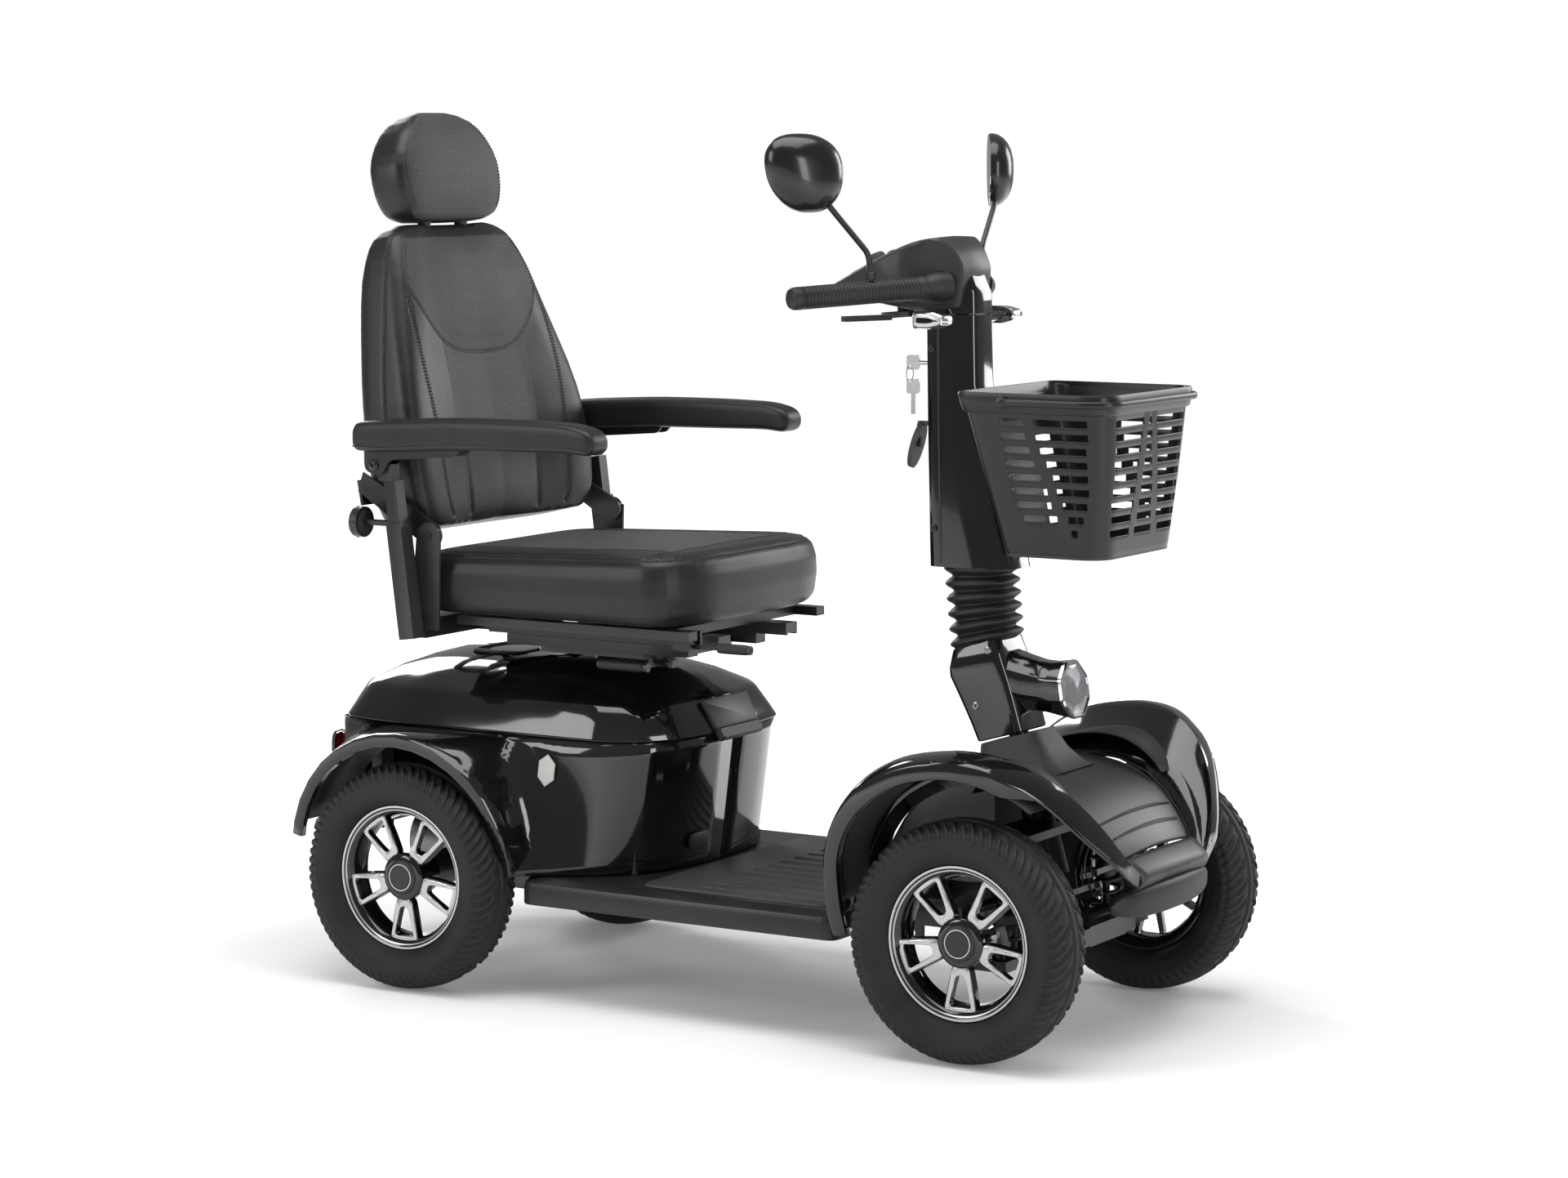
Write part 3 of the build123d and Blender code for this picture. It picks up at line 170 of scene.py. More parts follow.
# --- mesh helpers ----------------------------------------------------------------------
def build(name, verts, faces, mat, body=None, nodes=(), slot=None, smooth=True, bevel=0.0, sub=0, solid=0.0,
          angle=32):
    """Object from points and faces, with its finish, the body it rides on and the CAD nodes it stands for."""
    mesh = bpy.data.meshes.new(name)
    mesh.from_pydata([Vector(v) * MM for v in verts], [], faces)
    mesh.validate()
    obj = bpy.data.objects.new(name, mesh)
    bpy.context.collection.objects.link(obj)
    mesh.materials.append(mat)
    select(obj)
    bpy.ops.object.mode_set(mode="EDIT")
    bpy.ops.mesh.select_all(action="SELECT")
    bpy.ops.mesh.remove_doubles(threshold=0.02 * MM)
    bpy.ops.mesh.normals_make_consistent(inside=False)
    bpy.ops.object.mode_set(mode="OBJECT")
    if solid:
        mod = obj.modifiers.new("solid", "SOLIDIFY")
        mod.thickness = solid * MM
        mod.offset = -1
    if bevel:
        mod = obj.modifiers.new("bevel", "BEVEL")
        mod.width = bevel * MM
        mod.segments = 2
        mod.limit_method = "ANGLE"
        mod.angle_limit = radians(angle)
    if sub:
        mod = obj.modifiers.new("sub", "SUBSURF")
        mod.levels = mod.render_levels = sub
    if smooth:
        mesh.shade_smooth()
        if not sub:
            mesh.set_sharp_from_angle(angle=radians(38))
    for node in nodes:
        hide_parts(node)
    if body:
        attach(obj, body)
    return obj


def select(obj):
    bpy.ops.object.select_all(action="DESELECT")
    obj.select_set(True)
    bpy.context.view_layer.objects.active = obj


def grid_faces(rows, cols, close_row=False, close_col=False):
    """Four-sided faces over rows of points; either way can run round to its start."""
    out = []
    for i in range(rows if close_row else rows - 1):
        for j in range(cols if close_col else cols - 1):
            a, b = i * cols + j, i * cols + (j + 1) % cols
            k = (i + 1) % rows
            out.append((a, b, k * cols + (j + 1) % cols, k * cols + j))
    return out


def loft(name, rings, mat, caps=(True, True), **kw):
    """Closed rings of equal length, joined one to the next."""
    cols = len(rings[0])
    verts = [v for r in rings for v in r]
    faces = grid_faces(len(rings), cols, False, True)
    if caps[0]:
        faces.append(tuple(range(cols))[::-1])
    if caps[1]:
        faces.append(tuple(range(len(verts) - cols, len(verts))))
    return build(name, verts, faces, mat, **kw)


def rounded(points, radius, steps=4):
    """Closed polygon with its corners rounded."""
    out = []
    n = len(points)
    for i, p in enumerate(points):
        p = Vector(p)
        a, b = Vector(points[i - 1]) - p, Vector(points[(i + 1) % n]) - p
        r = radius[i] if isinstance(radius, (list, tuple)) else radius
        cut = min(r, a.length * 0.48, b.length * 0.48)
        p0, p1 = p + a.normalized() * cut, p + b.normalized() * cut
        for k in range(steps + 1):
            t = k / steps
            out.append(p0 * (1 - t) ** 2 + p * (2 * t * (1 - t)) + p1 * t * t)
    return out


def box_ring(x0, x1, half, z, radius, steps=4):
    return [(p.x, p.y, z) for p in patch(x0, x1, -half, half, 0, radius, steps)]


def patch(x0, x1, y0, y1, grow, radius, steps=4):
    """Rounded rectangle that grows or shrinks on every side."""
    return rounded([(x0 - grow, y0 - grow), (x1 + grow, y0 - grow), (x1 + grow, y1 + grow),
                    (x0 - grow, y1 + grow)], radius, steps)


def circle(count):
    return [(cos(2 * pi * k / count), sin(2 * pi * k / count)) for k in range(count)]


def signed(v, power):
    """Power that keeps the sign, for circles drawn out towards a square."""
    return abs(v) ** power * (1 if v > 0 else -1)


def tilted(u, f, y=0.0):
    return HEAD + U * u + F * f + Vector((0, y, 0))


def tilted_ring(u, f0, f1, half, radius, steps):
    return [tilted(u, p.x, p.y) for p in patch(f0, f1, -half, half, 0, radius, steps)]


def tube(name, path, radius, mat, n=16, closed=False, smooth_path=True, **kw):
    """Round bar along a path, with its bends eased."""
    pts = [Vector(p) for p in path]
    if smooth_path and len(pts) > 2:
        pts = ease(pts, closed)
    radii = radius if isinstance(radius, (list, tuple)) else [radius] * len(pts)
    rings = []
    side = None
    for i, p in enumerate(pts):
        if closed:
            d = pts[(i + 1) % len(pts)] - pts[i - 1]
        else:
            d = pts[min(i + 1, len(pts) - 1)] - pts[max(i - 1, 0)]
        d.normalize()
        if side is None:
            side = d.orthogonal().normalized()
        side = (side - d * side.dot(d)).normalized()
        other = d.cross(side)
        r = radii[i]
        rings.append([p + (side * ca + other * sa) * r for ca, sa in circle(n)])
    if closed:
        verts = [v for r in rings for v in r]
        return build(name, verts, grid_faces(len(rings), n, True, True), mat, **kw)
    return loft(name, rings, mat, **kw)


def ease(pts, closed=False, radius=14.0, steps=6):
    if closed:
        return rounded([tuple(p) for p in pts], radius, steps)
    out = [pts[0]]
    for i in range(1, len(pts) - 1):
        a, b = pts[i - 1] - pts[i], pts[i + 1] - pts[i]
        cut = min(radius, a.length * 0.45, b.length * 0.45)
        p0, p1 = pts[i] + a.normalized() * cut, pts[i] + b.normalized() * cut
        for k in range(steps + 1):
            t = k / steps
            out.append(p0 * (1 - t) ** 2 + pts[i] * (2 * t * (1 - t)) + p1 * t * t)
    return out + [pts[-1]]


def turned(name, profile, centre, axis, mat, n=64, closed=False, **kw):
    """Profile of (along the axis, radius) turned about an axis."""
    a = Vector(axis).normalized()
    s = a.orthogonal().normalized()
    o = a.cross(s)
    c = Vector(centre)
    rings = [[c + a * w + (s * ca + o * sa) * r for ca, sa in circle(n)] for w, r in profile]
    if closed:
        verts = [v for r in rings for v in r]
        return build(name, verts, grid_faces(len(rings), n, True, True), mat, **kw)
    return loft(name, rings, mat, **kw)


def resample(points, count, closed=False):
    """Evenly spaced points along a line."""
    pts = [Vector(p) for p in points]
    if closed:
        pts = pts + [pts[0]]
    run = [0.0]
    for a, b in zip(pts, pts[1:]):
        run.append(run[-1] + (b - a).length)
    out = []
    steps = count if closed else count - 1
    j = 0
    for k in range(count):
        d = run[-1] * k / steps
        while j < len(run) - 2 and run[j + 1] < d:
            j += 1
        span = run[j + 1] - run[j]
        t = (d - run[j]) / span if span else 0
        out.append(pts[j].lerp(pts[j + 1], t))
    return out


def smoothstep(a, b, x):
    t = max(0.0, min(1.0, (x - a) / (b - a)))
    return t * t * (3 - 2 * t)


def interp(table, x):
    """Piecewise linear lookup in a short list of (x, value) pairs."""
    for (x0, y0), (x1, y1) in zip(table, table[1:]):
        if x <= x1:
            t = max(0.0, (x - x0) / (x1 - x0))
            return y0 + (y1 - y0) * t
    return table[-1][1]


def curve_lookup(table, x):
    """Smooth lookup: cubic through short (x, value) pairs."""
    n = len(table)
    for i in range(n - 1):
        x0, y0 = table[i]
        x1, y1 = table[i + 1]
        if x <= x1 or i == n - 2:
            h = x1 - x0
            m0 = (y1 - table[i - 1][1]) / (x1 - table[i - 1][0]) if i else (y1 - y0) / h
            m1 = (table[i + 2][1] - y0) / (table[i + 2][0] - x0) if i + 2 < n else (y1 - y0) / h
            t = max(0.0, min(1.0, (x - x0) / h))
            return ((2 * t**3 - 3 * t * t + 1) * y0 + (t**3 - 2 * t * t + t) * h * m0
                    + (3 * t * t - 2 * t**3) * y1 + (t**3 - t * t) * h * m1)


# --- tyres -------------------------------------------------------------------------------
def tyre_mesh(x, side):
    """Section turned about the axle, with slanted tread grooves pressed into it."""
    shape = [(-24, 108), (-25, 113), (-33, 117), (-41, 124), (-47, 134), (-49.5, 146), (-49, 155),
             (-46.5, 163), (-42, 168.5), (-36, 172.3), (-27, 175), (-14, 177.2), (0, 178)]
    shape = shape + [(-w, r) for w, r in shape[-2::-1]]
    smooth_shape = []
    for i in range(len(shape) - 1):
        for k in range(4):
            smooth_shape.append(tuple(Vector(shape[i]).lerp(Vector(shape[i + 1]), k / 4)))
    smooth_shape.append(shape[-1])
    n, count = 432, 36  # points round the tyre and tread blocks on each side
    verts = []
    for i in range(n):
        a = 2 * pi * i / n
        for w, r in smooth_shape:
            aw = abs(w)
            deep = 0.0
            if aw > 9 and r > 150:
                slant = (aw - 9) * 0.0042
                half_step = 0.25 if w > 0 else 0
                for shift, lo in ((0.0, 11), (0.5, 25)):
                    ph = ((a + slant) * count / (2 * pi) + shift + half_step) % 1.0
                    cut = smoothstep(0.17, 0.1, abs(ph - 0.5))
                    if r < 162:
                        cut *= smoothstep(151, 158, r)
                    cut *= smoothstep(lo, lo + 3, aw)
                    deep = max(deep, cut)
            deep = max(deep, 0.9 * smoothstep(2.6, 1.4, abs(aw - 8.5)))
            # two raised lines on the side wall
            rise = 0.7 * smoothstep(1.6, 0.6, abs(r - 149)) * (aw > 40)
            rise += 0.8 * smoothstep(1.8, 0.6, abs(r - 121)) * (aw > 30)
            slope = min(1.0, max(0.0, (aw - 40) / 10))
            dw = (rise - deep * 2.6 * slope) * (1 if w > 0 else -1)
            rr = r - deep * 4.2 * (1 - 0.6 * slope)
            verts.append((x + rr * cos(a), side * TRACK + w + dw, AXLE_Z + rr * sin(a)))
    return verts, grid_faces(n, len(smooth_shape), True, False)


def wheel(end, x, side, s):
    body = f"{end}_wheel_{side}"
    v, f = tyre_mesh(x, s)
    build(f"{end}_tyre_skin_{side}", v, f, TYRE, body=body, nodes=(f"{end}_tyre_{side}",), slot="tyre")
    c = (x, s * TRACK, AXLE_Z)
    ax = (0, s, 0)
    # barrel with a deep dish, open in the middle
    turned(f"{end}_barrel_{side}", [(-27, 114), (-28.5, 112), (-28, 108), (-22, 100), (-12, 94), (8, 95),
                                    (18, 98),
                                    (25, 104), (28, 110), (28.5, 113.5), (24, 114.5), (24, 112), (-24, 112)],
           c, ax, GLOSS, closed=True, n=96, body=body, nodes=(f"{end}_rim_{side}",), slot="rim_alloy")
    for part, line in (("lip", [(28.2, 109.3), (29.4, 109.8), (29.6, 112.4), (28.6, 113.4)]),
                       ("lip_inner", [(25.6, 104.6), (27.2, 105.0), (27.9, 106.6), (27.4, 107.2)])):
        turned(f"{end}_{part}_{side}", line, c, ax, SILVER, n=96, caps=(False, False), body=body,
               slot="rim_alloy")
    # hub, cap and its plain ring
    turned(f"{end}_hub_{side}", [(-34, 30), (-30, 33), (2, 33), (12, 37), (21, 37), (24, 34), (25, 30)], c,
           ax, GLOSS, n=64, body=body, slot="rim_alloy", bevel=1.0)
    turned(f"{end}_cap_{side}", [(25, 27), (27.5, 26), (29, 23.5), (29.6, 12), (29.8, 0.5)], c, ax, SATIN,
           n=64, caps=(False, True), body=body, slot="satin_grey")
    turned(f"{end}_cap_ring_{side}", [(28.7, 21.5), (30.2, 21.0), (30.2, 19.6), (28.9, 19.2)], c, ax, SILVER,
           n=64, caps=(False, False), body=body, slot="rim_alloy")
    # spokes: a black body and a machined loop on each
    count = 48
    for k in range(5):
        a = radians(-90 + 72 * k)
        rad = Vector((cos(a), 0, sin(a)))
        tan = Vector((-sin(a), 0, cos(a)))

        def ring(points, corner, w, grow):
            out = []
            for q in resample(rounded(points, corner, 5), count, True):
                q = q + (q - Vector((0, 68))).normalized() * grow
                out.append(Vector(c) + rad * q.y + tan * q.x * s + Vector(ax) * w)
            return out

        outer = [(-14, 33), (14, 33), (27, 103), (-27, 103)]
        inner = [(-6.5, 48), (6.5, 48), (18.5, 94), (-18.5, 94)]
        for part, mat, layers in (
                ("spoke", GLOSS, ((outer, 10, 7, 2), (outer, 10, 16, 1.2), (outer, 10, 18.5, 0.6),
                                  (inner, 6, 18.5, 1), (inner, 6, 7, 1))),
                ("loop", SILVER, ((outer, 9, 18.4, -0.4), (outer, 9, 20, -1.0), (outer, 9, 20.6, -2.0),
                                  (inner, 6, 20.6, 1.4), (inner, 6, 20, 0.6), (inner, 6, 18.4, 0.2)))):
            verts = [v for layer in layers for v in ring(*layer)]
            build(f"{end}_{part}_{side}_{k}", verts, grid_faces(len(layers), count, True, True), mat,
                  body=body, slot="rim_alloy")


for side_name, sgn in SIDES:
    wheel("rear", REAR_X, side_name, sgn)
    wheel("front", FRONT_X, side_name, sgn)

# --- rear body: side skins that flow out over the wheels -----------------------------------
BELT = [(-44, 0), (-44, 60), (-58, 150), (-98, 200), (-150, 222), (-210, 226), (-300, 226), (-455, 224),
        (-560, 220), (-640, 205), (-676, 160), (-684, 80), (-684, 0)]
BELT_Z, BELT_MID = 402.0, -360.0


def belt_point(x, y, inset):
    """Point of the belt outline, moved in towards the middle."""
    kx = (abs(x - BELT_MID) - inset) / abs(x - BELT_MID) if abs(x - BELT_MID) > 1 else 1
    ky = (y - inset) / y if y > max(inset, 0) else 0
    return (BELT_MID + (x - BELT_MID) * kx, y * ky)


# edge of the rear arch, by angle round the axle: radius, and distance from the middle plane
LIP_R = [(4, 187), (20, 196), (40, 210), (65, 222), (95, 227), (125, 224), (150, 219), (170, 216)]
LIP_Y = [(4, 290), (20, 303), (40, 320), (60, 332), (90, 337), (130, 337), (150, 332), (170, 322)]
# in front of the arch: belt x, belt y, lower point, pull of the curve towards the belt (0 straight)
STATIONS = [((-46, 0), (-72, 0, 195), 0.0), ((-46, 45), (-73, 40, 195), 0.0),
            ((-50, 92), (-78, 88, 195), 0.0), ((-57, 130), (-88, 138, 195), 0.1),
            ((-74, 172), (-108, 176, 195), 0.2), ((-100, 200), (-138, 210, 195), 0.35),
            ((-140, 217), (-180, 242, 195), 0.5), ((-180, 224), (-222, 266, 195), 0.6)]


def rear_skin(side, s):
    rows = 12
    cols = [((bx, by, BELT_Z - 2), low, pull) for (bx, by), low, pull in STATIONS]
    for phi in (4, 12, 20, 30, 40, 50, 60, 70, 80, 90, 100, 110, 120, 130, 140, 150, 160, 166):
        bx = curve_lookup([(4, -214), (40, -288), (70, -372), (95, -455), (125, -560), (150, -640),
                           (166, -668)], phi)
        by = curve_lookup([(4, 226), (60, 226), (100, 223), (130, 214), (150, 203), (166, 184)], phi)
        r = curve_lookup(LIP_R, phi)
        low = (REAR_X + r * cos(radians(phi)), curve_lookup(LIP_Y, phi), AXLE_Z + r * sin(radians(phi)))
        cols.append(((bx, by, BELT_Z - 2), low, 0.62))
    grid = []
    for belt, low, pull in cols:
        b, l = Vector(belt), Vector(low)
        over = smoothstep(300, 385, l.z)
        ctrl = Vector((b.x * 0.5 + l.x * 0.5, b.y + (l.y - b.y) * (0.06 + 0.6 * over),
                       l.z + (b.z - l.z) * (0.3 + 0.6 * over) + 9 * over))
        ctrl = b.lerp(l, 0.5).lerp(ctrl, min(1, pull * 1.6))
        col = []
        for k in range(rows):
            t = k / (rows - 1)
            p = b * (1 - t) ** 2 + ctrl * (2 * t * (1 - t)) + l * t * t
            col.append((p.x, p.y * s, p.z))
        grid.append(col)
    verts = [v for c in grid for v in c]
    faces = grid_faces(len(grid), rows)
    # the lip turns down and then under
    base = len(STATIONS)
    first = len(verts)
    for i in range(base, len(grid)):
        x, y, z = grid[i][-1]
        d = Vector((x - REAR_X, 0, z - AXLE_Z)).normalized()
        for dr, dy in ((-3, 4), (-15, 5), (-20, 2), (-20, -8), (-10, -14)):
            verts.append((x + d.x * dr, y + s * dy, z + d.z * dr))
    strips = len(grid) - base
    for i in range(strips - 1):
        a, b = (base + i) * rows + rows - 1, (base + i + 1) * rows + rows - 1
        row_a, row_b = first + i * 5, first + (i + 1) * 5
        faces.append((a, b, row_b, row_a))
        for k in range(4):
            faces.append((row_a + k, row_b + k, row_b + k + 1, row_a + k + 1))
    build(f"rear_skin_{side}", verts, faces, GLOSS, body="chassis", nodes=("rear_shroud", "rear_fenders"),
          slot="body_black", solid=2.5)
    # inner wheel housing
    verts = []
    for phi in range(6, 168, 9):
        r = curve_lookup(LIP_R, phi) - 3 - 9 * smoothstep(10, 60, phi)
        for y in (322, 270, 214):
            verts.append((REAR_X + r * cos(radians(phi)), s * min(y, curve_lookup(LIP_Y, phi) - 4),
                          AXLE_Z + r * sin(radians(phi))))
    build(f"rear_liner_{side}", verts, grid_faces(len(verts) // 3, 3), RUBBER, body="chassis",
          slot="body_black", solid=2)


for side_name, sgn in SIDES:
    rear_skin(side_name, sgn)

# rear wall between the fenders
verts = []
for y, x0, x1, z1 in ((-184, -668, -652, 240), (-140, -680, -662, 236), (-70, -685, -668, 234),
                      (0, -686, -669, 234),
                      (70, -685, -668, 234), (140, -680, -662, 236), (184, -668, -652, 240)):
    for t in (0, 0.33, 0.66, 1):
        verts.append((x0 + (x1 - x0) * t - 5 * sin(pi * t), y, BELT_Z - 2 + (z1 - BELT_Z) * t))
build("rear_wall", verts, grid_faces(7, 4), GLOSS, body="chassis", slot="body_black", solid=2.5)


# top cover: belt band, then a dome with soft facets
def cover_ring(inset, z, front_extra=0.0):
    half = []
    for belt in BELT:
        x, y = belt_point(*belt, inset)
        if x > BELT_MID:
            x -= front_extra * (x - BELT_MID) / 320
        half.append((x, y))
    loop = half + [(x, -y) for x, y in half[-2:0:-1]]
    return [(p.x, p.y, z) for p in resample(rounded(loop, 15, 4), 160, True)]


rings = [cover_ring(4, 400), cover_ring(-1.5, 403), cover_ring(-1.5, 406), cover_ring(22, 451),
         cover_ring(25, 455),
         cover_ring(31, 459), cover_ring(62, 478, front_extra=8), cover_ring(98, 493, front_extra=16),
         cover_ring(130, 501, front_extra=20), cover_ring(165, 505, front_extra=20)]
loft("rear_lid", rings, GLOSS, caps=(False, True), body="chassis", nodes=("rear_top_cover",),
     slot="body_black")
# shadow gap under the belt
loft("belt_gap", [cover_ring(5, 392), cover_ring(5, 404)], RUBBER, caps=(False, False), body="chassis",
     slot="body_black")
# recess and rubber boot round the seat post, tool tray with a raised rim behind it
turned("post_collar", [(0, 66), (3, 64), (4, 58), (-6, 44), (-14, 36), (-14, 21)], (-227, 0, 504), (0, 0, 1),
       SATIN, caps=(False, False), body="chassis", slot="satin_grey", n=72)
tray = [box_ring(-500, -395, 78, 503.2, 24), box_ring(-498, -397, 76, 507, 23),
        box_ring(-492, -403, 70, 507.5, 18), box_ring(-489, -406, 67, 503.8, 16)]
loft("tray_rim", tray, SATIN, caps=(False, True), body="chassis", slot="satin_grey")

# charging hatch: satin flap over the band with a dark finger lip
low_edge, high_edge = Vector((-41.5, 0, 404)), Vector((-67.5, 0, 452))
d_up = (high_edge - low_edge).normalized()
n_out = Vector((d_up.z, 0, -d_up.x))


def on_band(up, y, out):
    p = low_edge + d_up * up + n_out * out
    return (p.x, y, p.z)


flap = []
for out, grow in ((0.5, 0), (5.0, 0), (6.4, -2.0)):
    pts = rounded([(-62 - grow, 4 - grow), (62 + grow, 4 - grow), (66 + grow, 54 + grow),
                   (-66 - grow, 54 + grow)], 5)
    flap.append([on_band(p.y, p.x, out) for p in pts])
loft("hatch_flap", flap, SATIN, caps=(True, True), body="hatch", nodes=("charge_hatch",), slot="satin_grey")
lipm = []
for out, grow in ((0.5, 0), (6.5, 0), (10.0, 3)):
    pts = rounded([(-60 + grow, -16 + grow), (60 - grow, -16 + grow), (62 - grow, 5 - grow),
                   (-62 + grow, 5 - grow)], 6)
    lipm.append([on_band(p.y, p.x, out) for p in pts])
loft("hatch_lip", lipm, RUBBER, caps=(True, True), body="hatch", slot="satin_grey")
# rounded plug low on the front, side reflectors, rear lamps
plug = []
for out, grow in ((-1, 0), (2.5, 0), (3.4, -2)):
    plug.append([(-69 + out + (p.y - 222) * 0.13, p.x, p.y) for p in patch(-96, -44, 222, 247, grow, 11, 5)])
loft("front_plug", plug, RUBBER, body="chassis", slot="body_black")
for side_name, sgn in SIDES:
    hexa = []
    for out, k in ((0, 1.12), (3, 1.12), (3.6, 1.0)):
        corners = [(15 * k * cos(radians(60 * i + 25)), 22 * k * sin(radians(60 * i + 25))) for i in range(6)]
        hexa.append([(-240 + x, sgn * (233 + out - 0.11 * z), 352 + z) for x, z in corners])
    loft(f"reflector_{side_name}", hexa, REFLEX, body="chassis", slot="clear_lens", smooth=False)
    lamp, bezel = ([[(-683 + out + 0.02 * p.y, sgn * 138 + p.x, 350 + p.y)
                     for p in patch(-50, 50, -19, 19, grow, r, 5)] for out, grow in layers]
                   for r, layers in ((15, ((0, 0), (-6, 0), (-8.5, -4))), (17, ((2, 5), (-4, 5), (-5, 1)))))
    loft(f"tail_lamp_{side_name}", lamp, RED, body="chassis", nodes=("rear_lights",), slot="red_lens")
    loft(f"tail_bezel_{side_name}", bezel, SATIN, caps=(False, False), body="chassis", slot="satin_grey")


# --- floor pan and ribbed mat -------------------------------------------------------------
deck = [box_ring(-255, 302, 284, 150, 18), box_ring(-255, 302, 288, 153, 20),
        box_ring(-255, 302, 288, 176, 20), box_ring(-255, 302, 285, 184, 20),
        box_ring(-255, 301, 268, 191, 20), box_ring(-255, 300, 262, 192, 20)]
loft("deck_pan", deck, DECK, body="chassis", nodes=("footplate",), slot="body_black")
mat_rings = [box_ring(-60, 272, 250, 192, 22), box_ring(-59, 271, 249, 194.6, 22),
             box_ring(-57, 269, 247, 195.2, 22)]
loft("deck_mat", mat_rings, MAT, body="chassis", nodes=("footplate_mat",), slot="mat")
for i in range(12):
    y = (i - 5.5) * 40
    rib = [[(p.x, p.y, z) for p in patch(30, 262, y - 7, y + 7, g, 6)]
           for z, g in ((195, 0), (196.6, -0.6), (197.9, -2.6))]
    loft(f"deck_rib_{i}", rib, MAT, body="chassis", slot="mat")


# --- bumpers --------------------------------------------------------------------------------
def pill(name, x0, x1, half, z0, z1, bow, tip):
    """Long rubber bumper, bowed, tapering to its ends."""
    rings = []
    n = 25
    zc, xc = (z0 + z1) / 2, (x0 + x1) / 2
    for i in range(n):
        t = -1 + 2 * i / (n - 1)
        y = half * t
        k = (1 - abs(t) ** 6) ** 0.5 * (1 - tip * abs(t) ** 2) + 0.02
        shift = -bow * t * t
        rings.append([(xc + shift + (x1 - x0) / 2 * k * signed(ca, 0.6), y,
                       zc + (z1 - z0) / 2 * k * signed(sa, 0.6)) for ca, sa in circle(20)])
    loft(name, rings, RUBBER, body="chassis", nodes=("bumpers",), slot="bumper_rubber")


pill("front_bumper_pad", 684, 725, 156, 194, 243, 14, 0.18)
pill("rear_bumper_pad", -725, -690, 236, 200, 244, -16, 0.15)
for side_name, sgn in SIDES:
    tube(f"bumper_stay_front_{side_name}", [(600, sgn * 40, 178), (640, sgn * 44, 196), (700, sgn * 50, 216)],
         7, STEEL, body="chassis", slot="black_steel")
    tube(f"bumper_stay_rear_{side_name}", [(-620, sgn * 140, 228), (-700, sgn * 140, 226)], 9, STEEL,
         body="chassis", slot="black_steel")

# --- front arches and nose -------------------------------------------------------------------

def arch_frame(q):
    """Centre line of the arch: q runs from 0 at its foot to 1 at the nose tip.
    Gives outer edge, crest and inner edge for the +Y side."""
    outer = [(0.0, (302, 290, 160)), (0.08, (296, 300, 215)), (0.2, (308, 322, 300)), (0.32, (352, 338, 372)),
             (0.44, (420, 343, 420)), (0.55, (498, 344, 440)), (0.64, (560, 338, 436)),
             (0.73, (612, 310, 408)),
             (0.81, (650, 268, 362)), (0.88, (680, 218, 312)), (0.94, (704, 160, 268)),
             (1.0, (716, 118, 244))]
    crest = [(0.0, (298, 262, 160)), (0.08, (288, 268, 222)), (0.2, (300, 282, 312)), (0.32, (344, 290, 385)),
             (0.44, (412, 290, 432)), (0.55, (494, 286, 450)), (0.64, (562, 278, 447)),
             (0.73, (618, 254, 424)),
             (0.81, (658, 224, 388)), (0.88, (688, 186, 342)), (0.94, (708, 146, 292)),
             (1.0, (716, 112, 262))]
    inner = [(0.0, (300, 200, 160)), (0.08, (306, 196, 200)), (0.2, (330, 186, 270)), (0.32, (366, 174, 335)),
             (0.44, (424, 164, 372)), (0.55, (492, 158, 384)), (0.64, (552, 153, 384)),
             (0.73, (602, 148, 366)),
             (0.81, (640, 142, 338)), (0.88, (668, 130, 308)), (0.94, (690, 116, 278)),
             (1.0, (706, 104, 258))]
    return [Vector(tuple(curve_lookup([(a, p[k]) for a, p in line], q) for k in range(3)))
            for line in (outer, crest, inner)]


def arch(side, s):
    verts, n = [], 49
    for i in range(n):
        q = i / (n - 1)
        o, c, v = arch_frame(q)
        d = Vector((FRONT_X - o.x, 0, AXLE_Z - o.z)).normalized()
        # the steered tyre sweeps past the front of the edge: the skirt is thin and the edge stands off there
        sweep = smoothstep(0.70, 0.80, q) * (1 - smoothstep(0.92, 0.99, q))
        o -= d * 11 * sweep
        band = 26 * (1 - 0.35 * smoothstep(0.75, 1, q)) * (1 - 0.85 * sweep)
        side_in = Vector((0, -min(1, (o.y - v.y) / 43), 0))
        under = [o + d * (band - 4) + side_in * 26, o + d * band + side_in * 8,
                 o + d * (band - 2) + side_in * 1.5, o + d * 4, o + d * 0.5 + side_in * 1.5]
        curve = [o.lerp(c, t) + UP * 4 * sin(pi * t) * (1 - smoothstep(0.9, 1, q))
                 for t in (0.15, 0.35, 0.6, 0.85, 1.0)]
        mid = c.lerp(v, 0.5) + Vector((0, 10, -6))
        fall = [c * (1 - t) ** 2 + mid * (2 * t * (1 - t)) + v * t * t for t in (0.08, 0.3, 0.6, 1.0)]
        for p in under + curve + fall:
            verts.append((p.x, s * p.y, p.z))
    cols = len(verts) // n
    tip = tuple(range((n - 1) * cols, n * cols))
    build(f"front_arch_{side}", verts, grid_faces(n, cols) + [tip], GLOSS, body="chassis",
          nodes=("front_fender",), slot="body_black", solid=2.5)
    liner = []
    for i in range(4, n - 11):
        o = arch_frame(i / (n - 1))[0]
        r = Vector((o.x - FRONT_X, 0, o.z - AXLE_Z))
        r = r.normalized() * (r.length - 20)
        for y in (o.y - 8, (o.y + 150) / 2, 150):
            liner.append((FRONT_X + r.x, s * y, AXLE_Z + r.z))
    build(f"front_liner_{side}", liner, grid_faces(len(liner) // 3, 3), RUBBER, body="chassis",
          slot="body_black", solid=2)


for side_name, sgn in SIDES:
    arch(side_name, sgn)

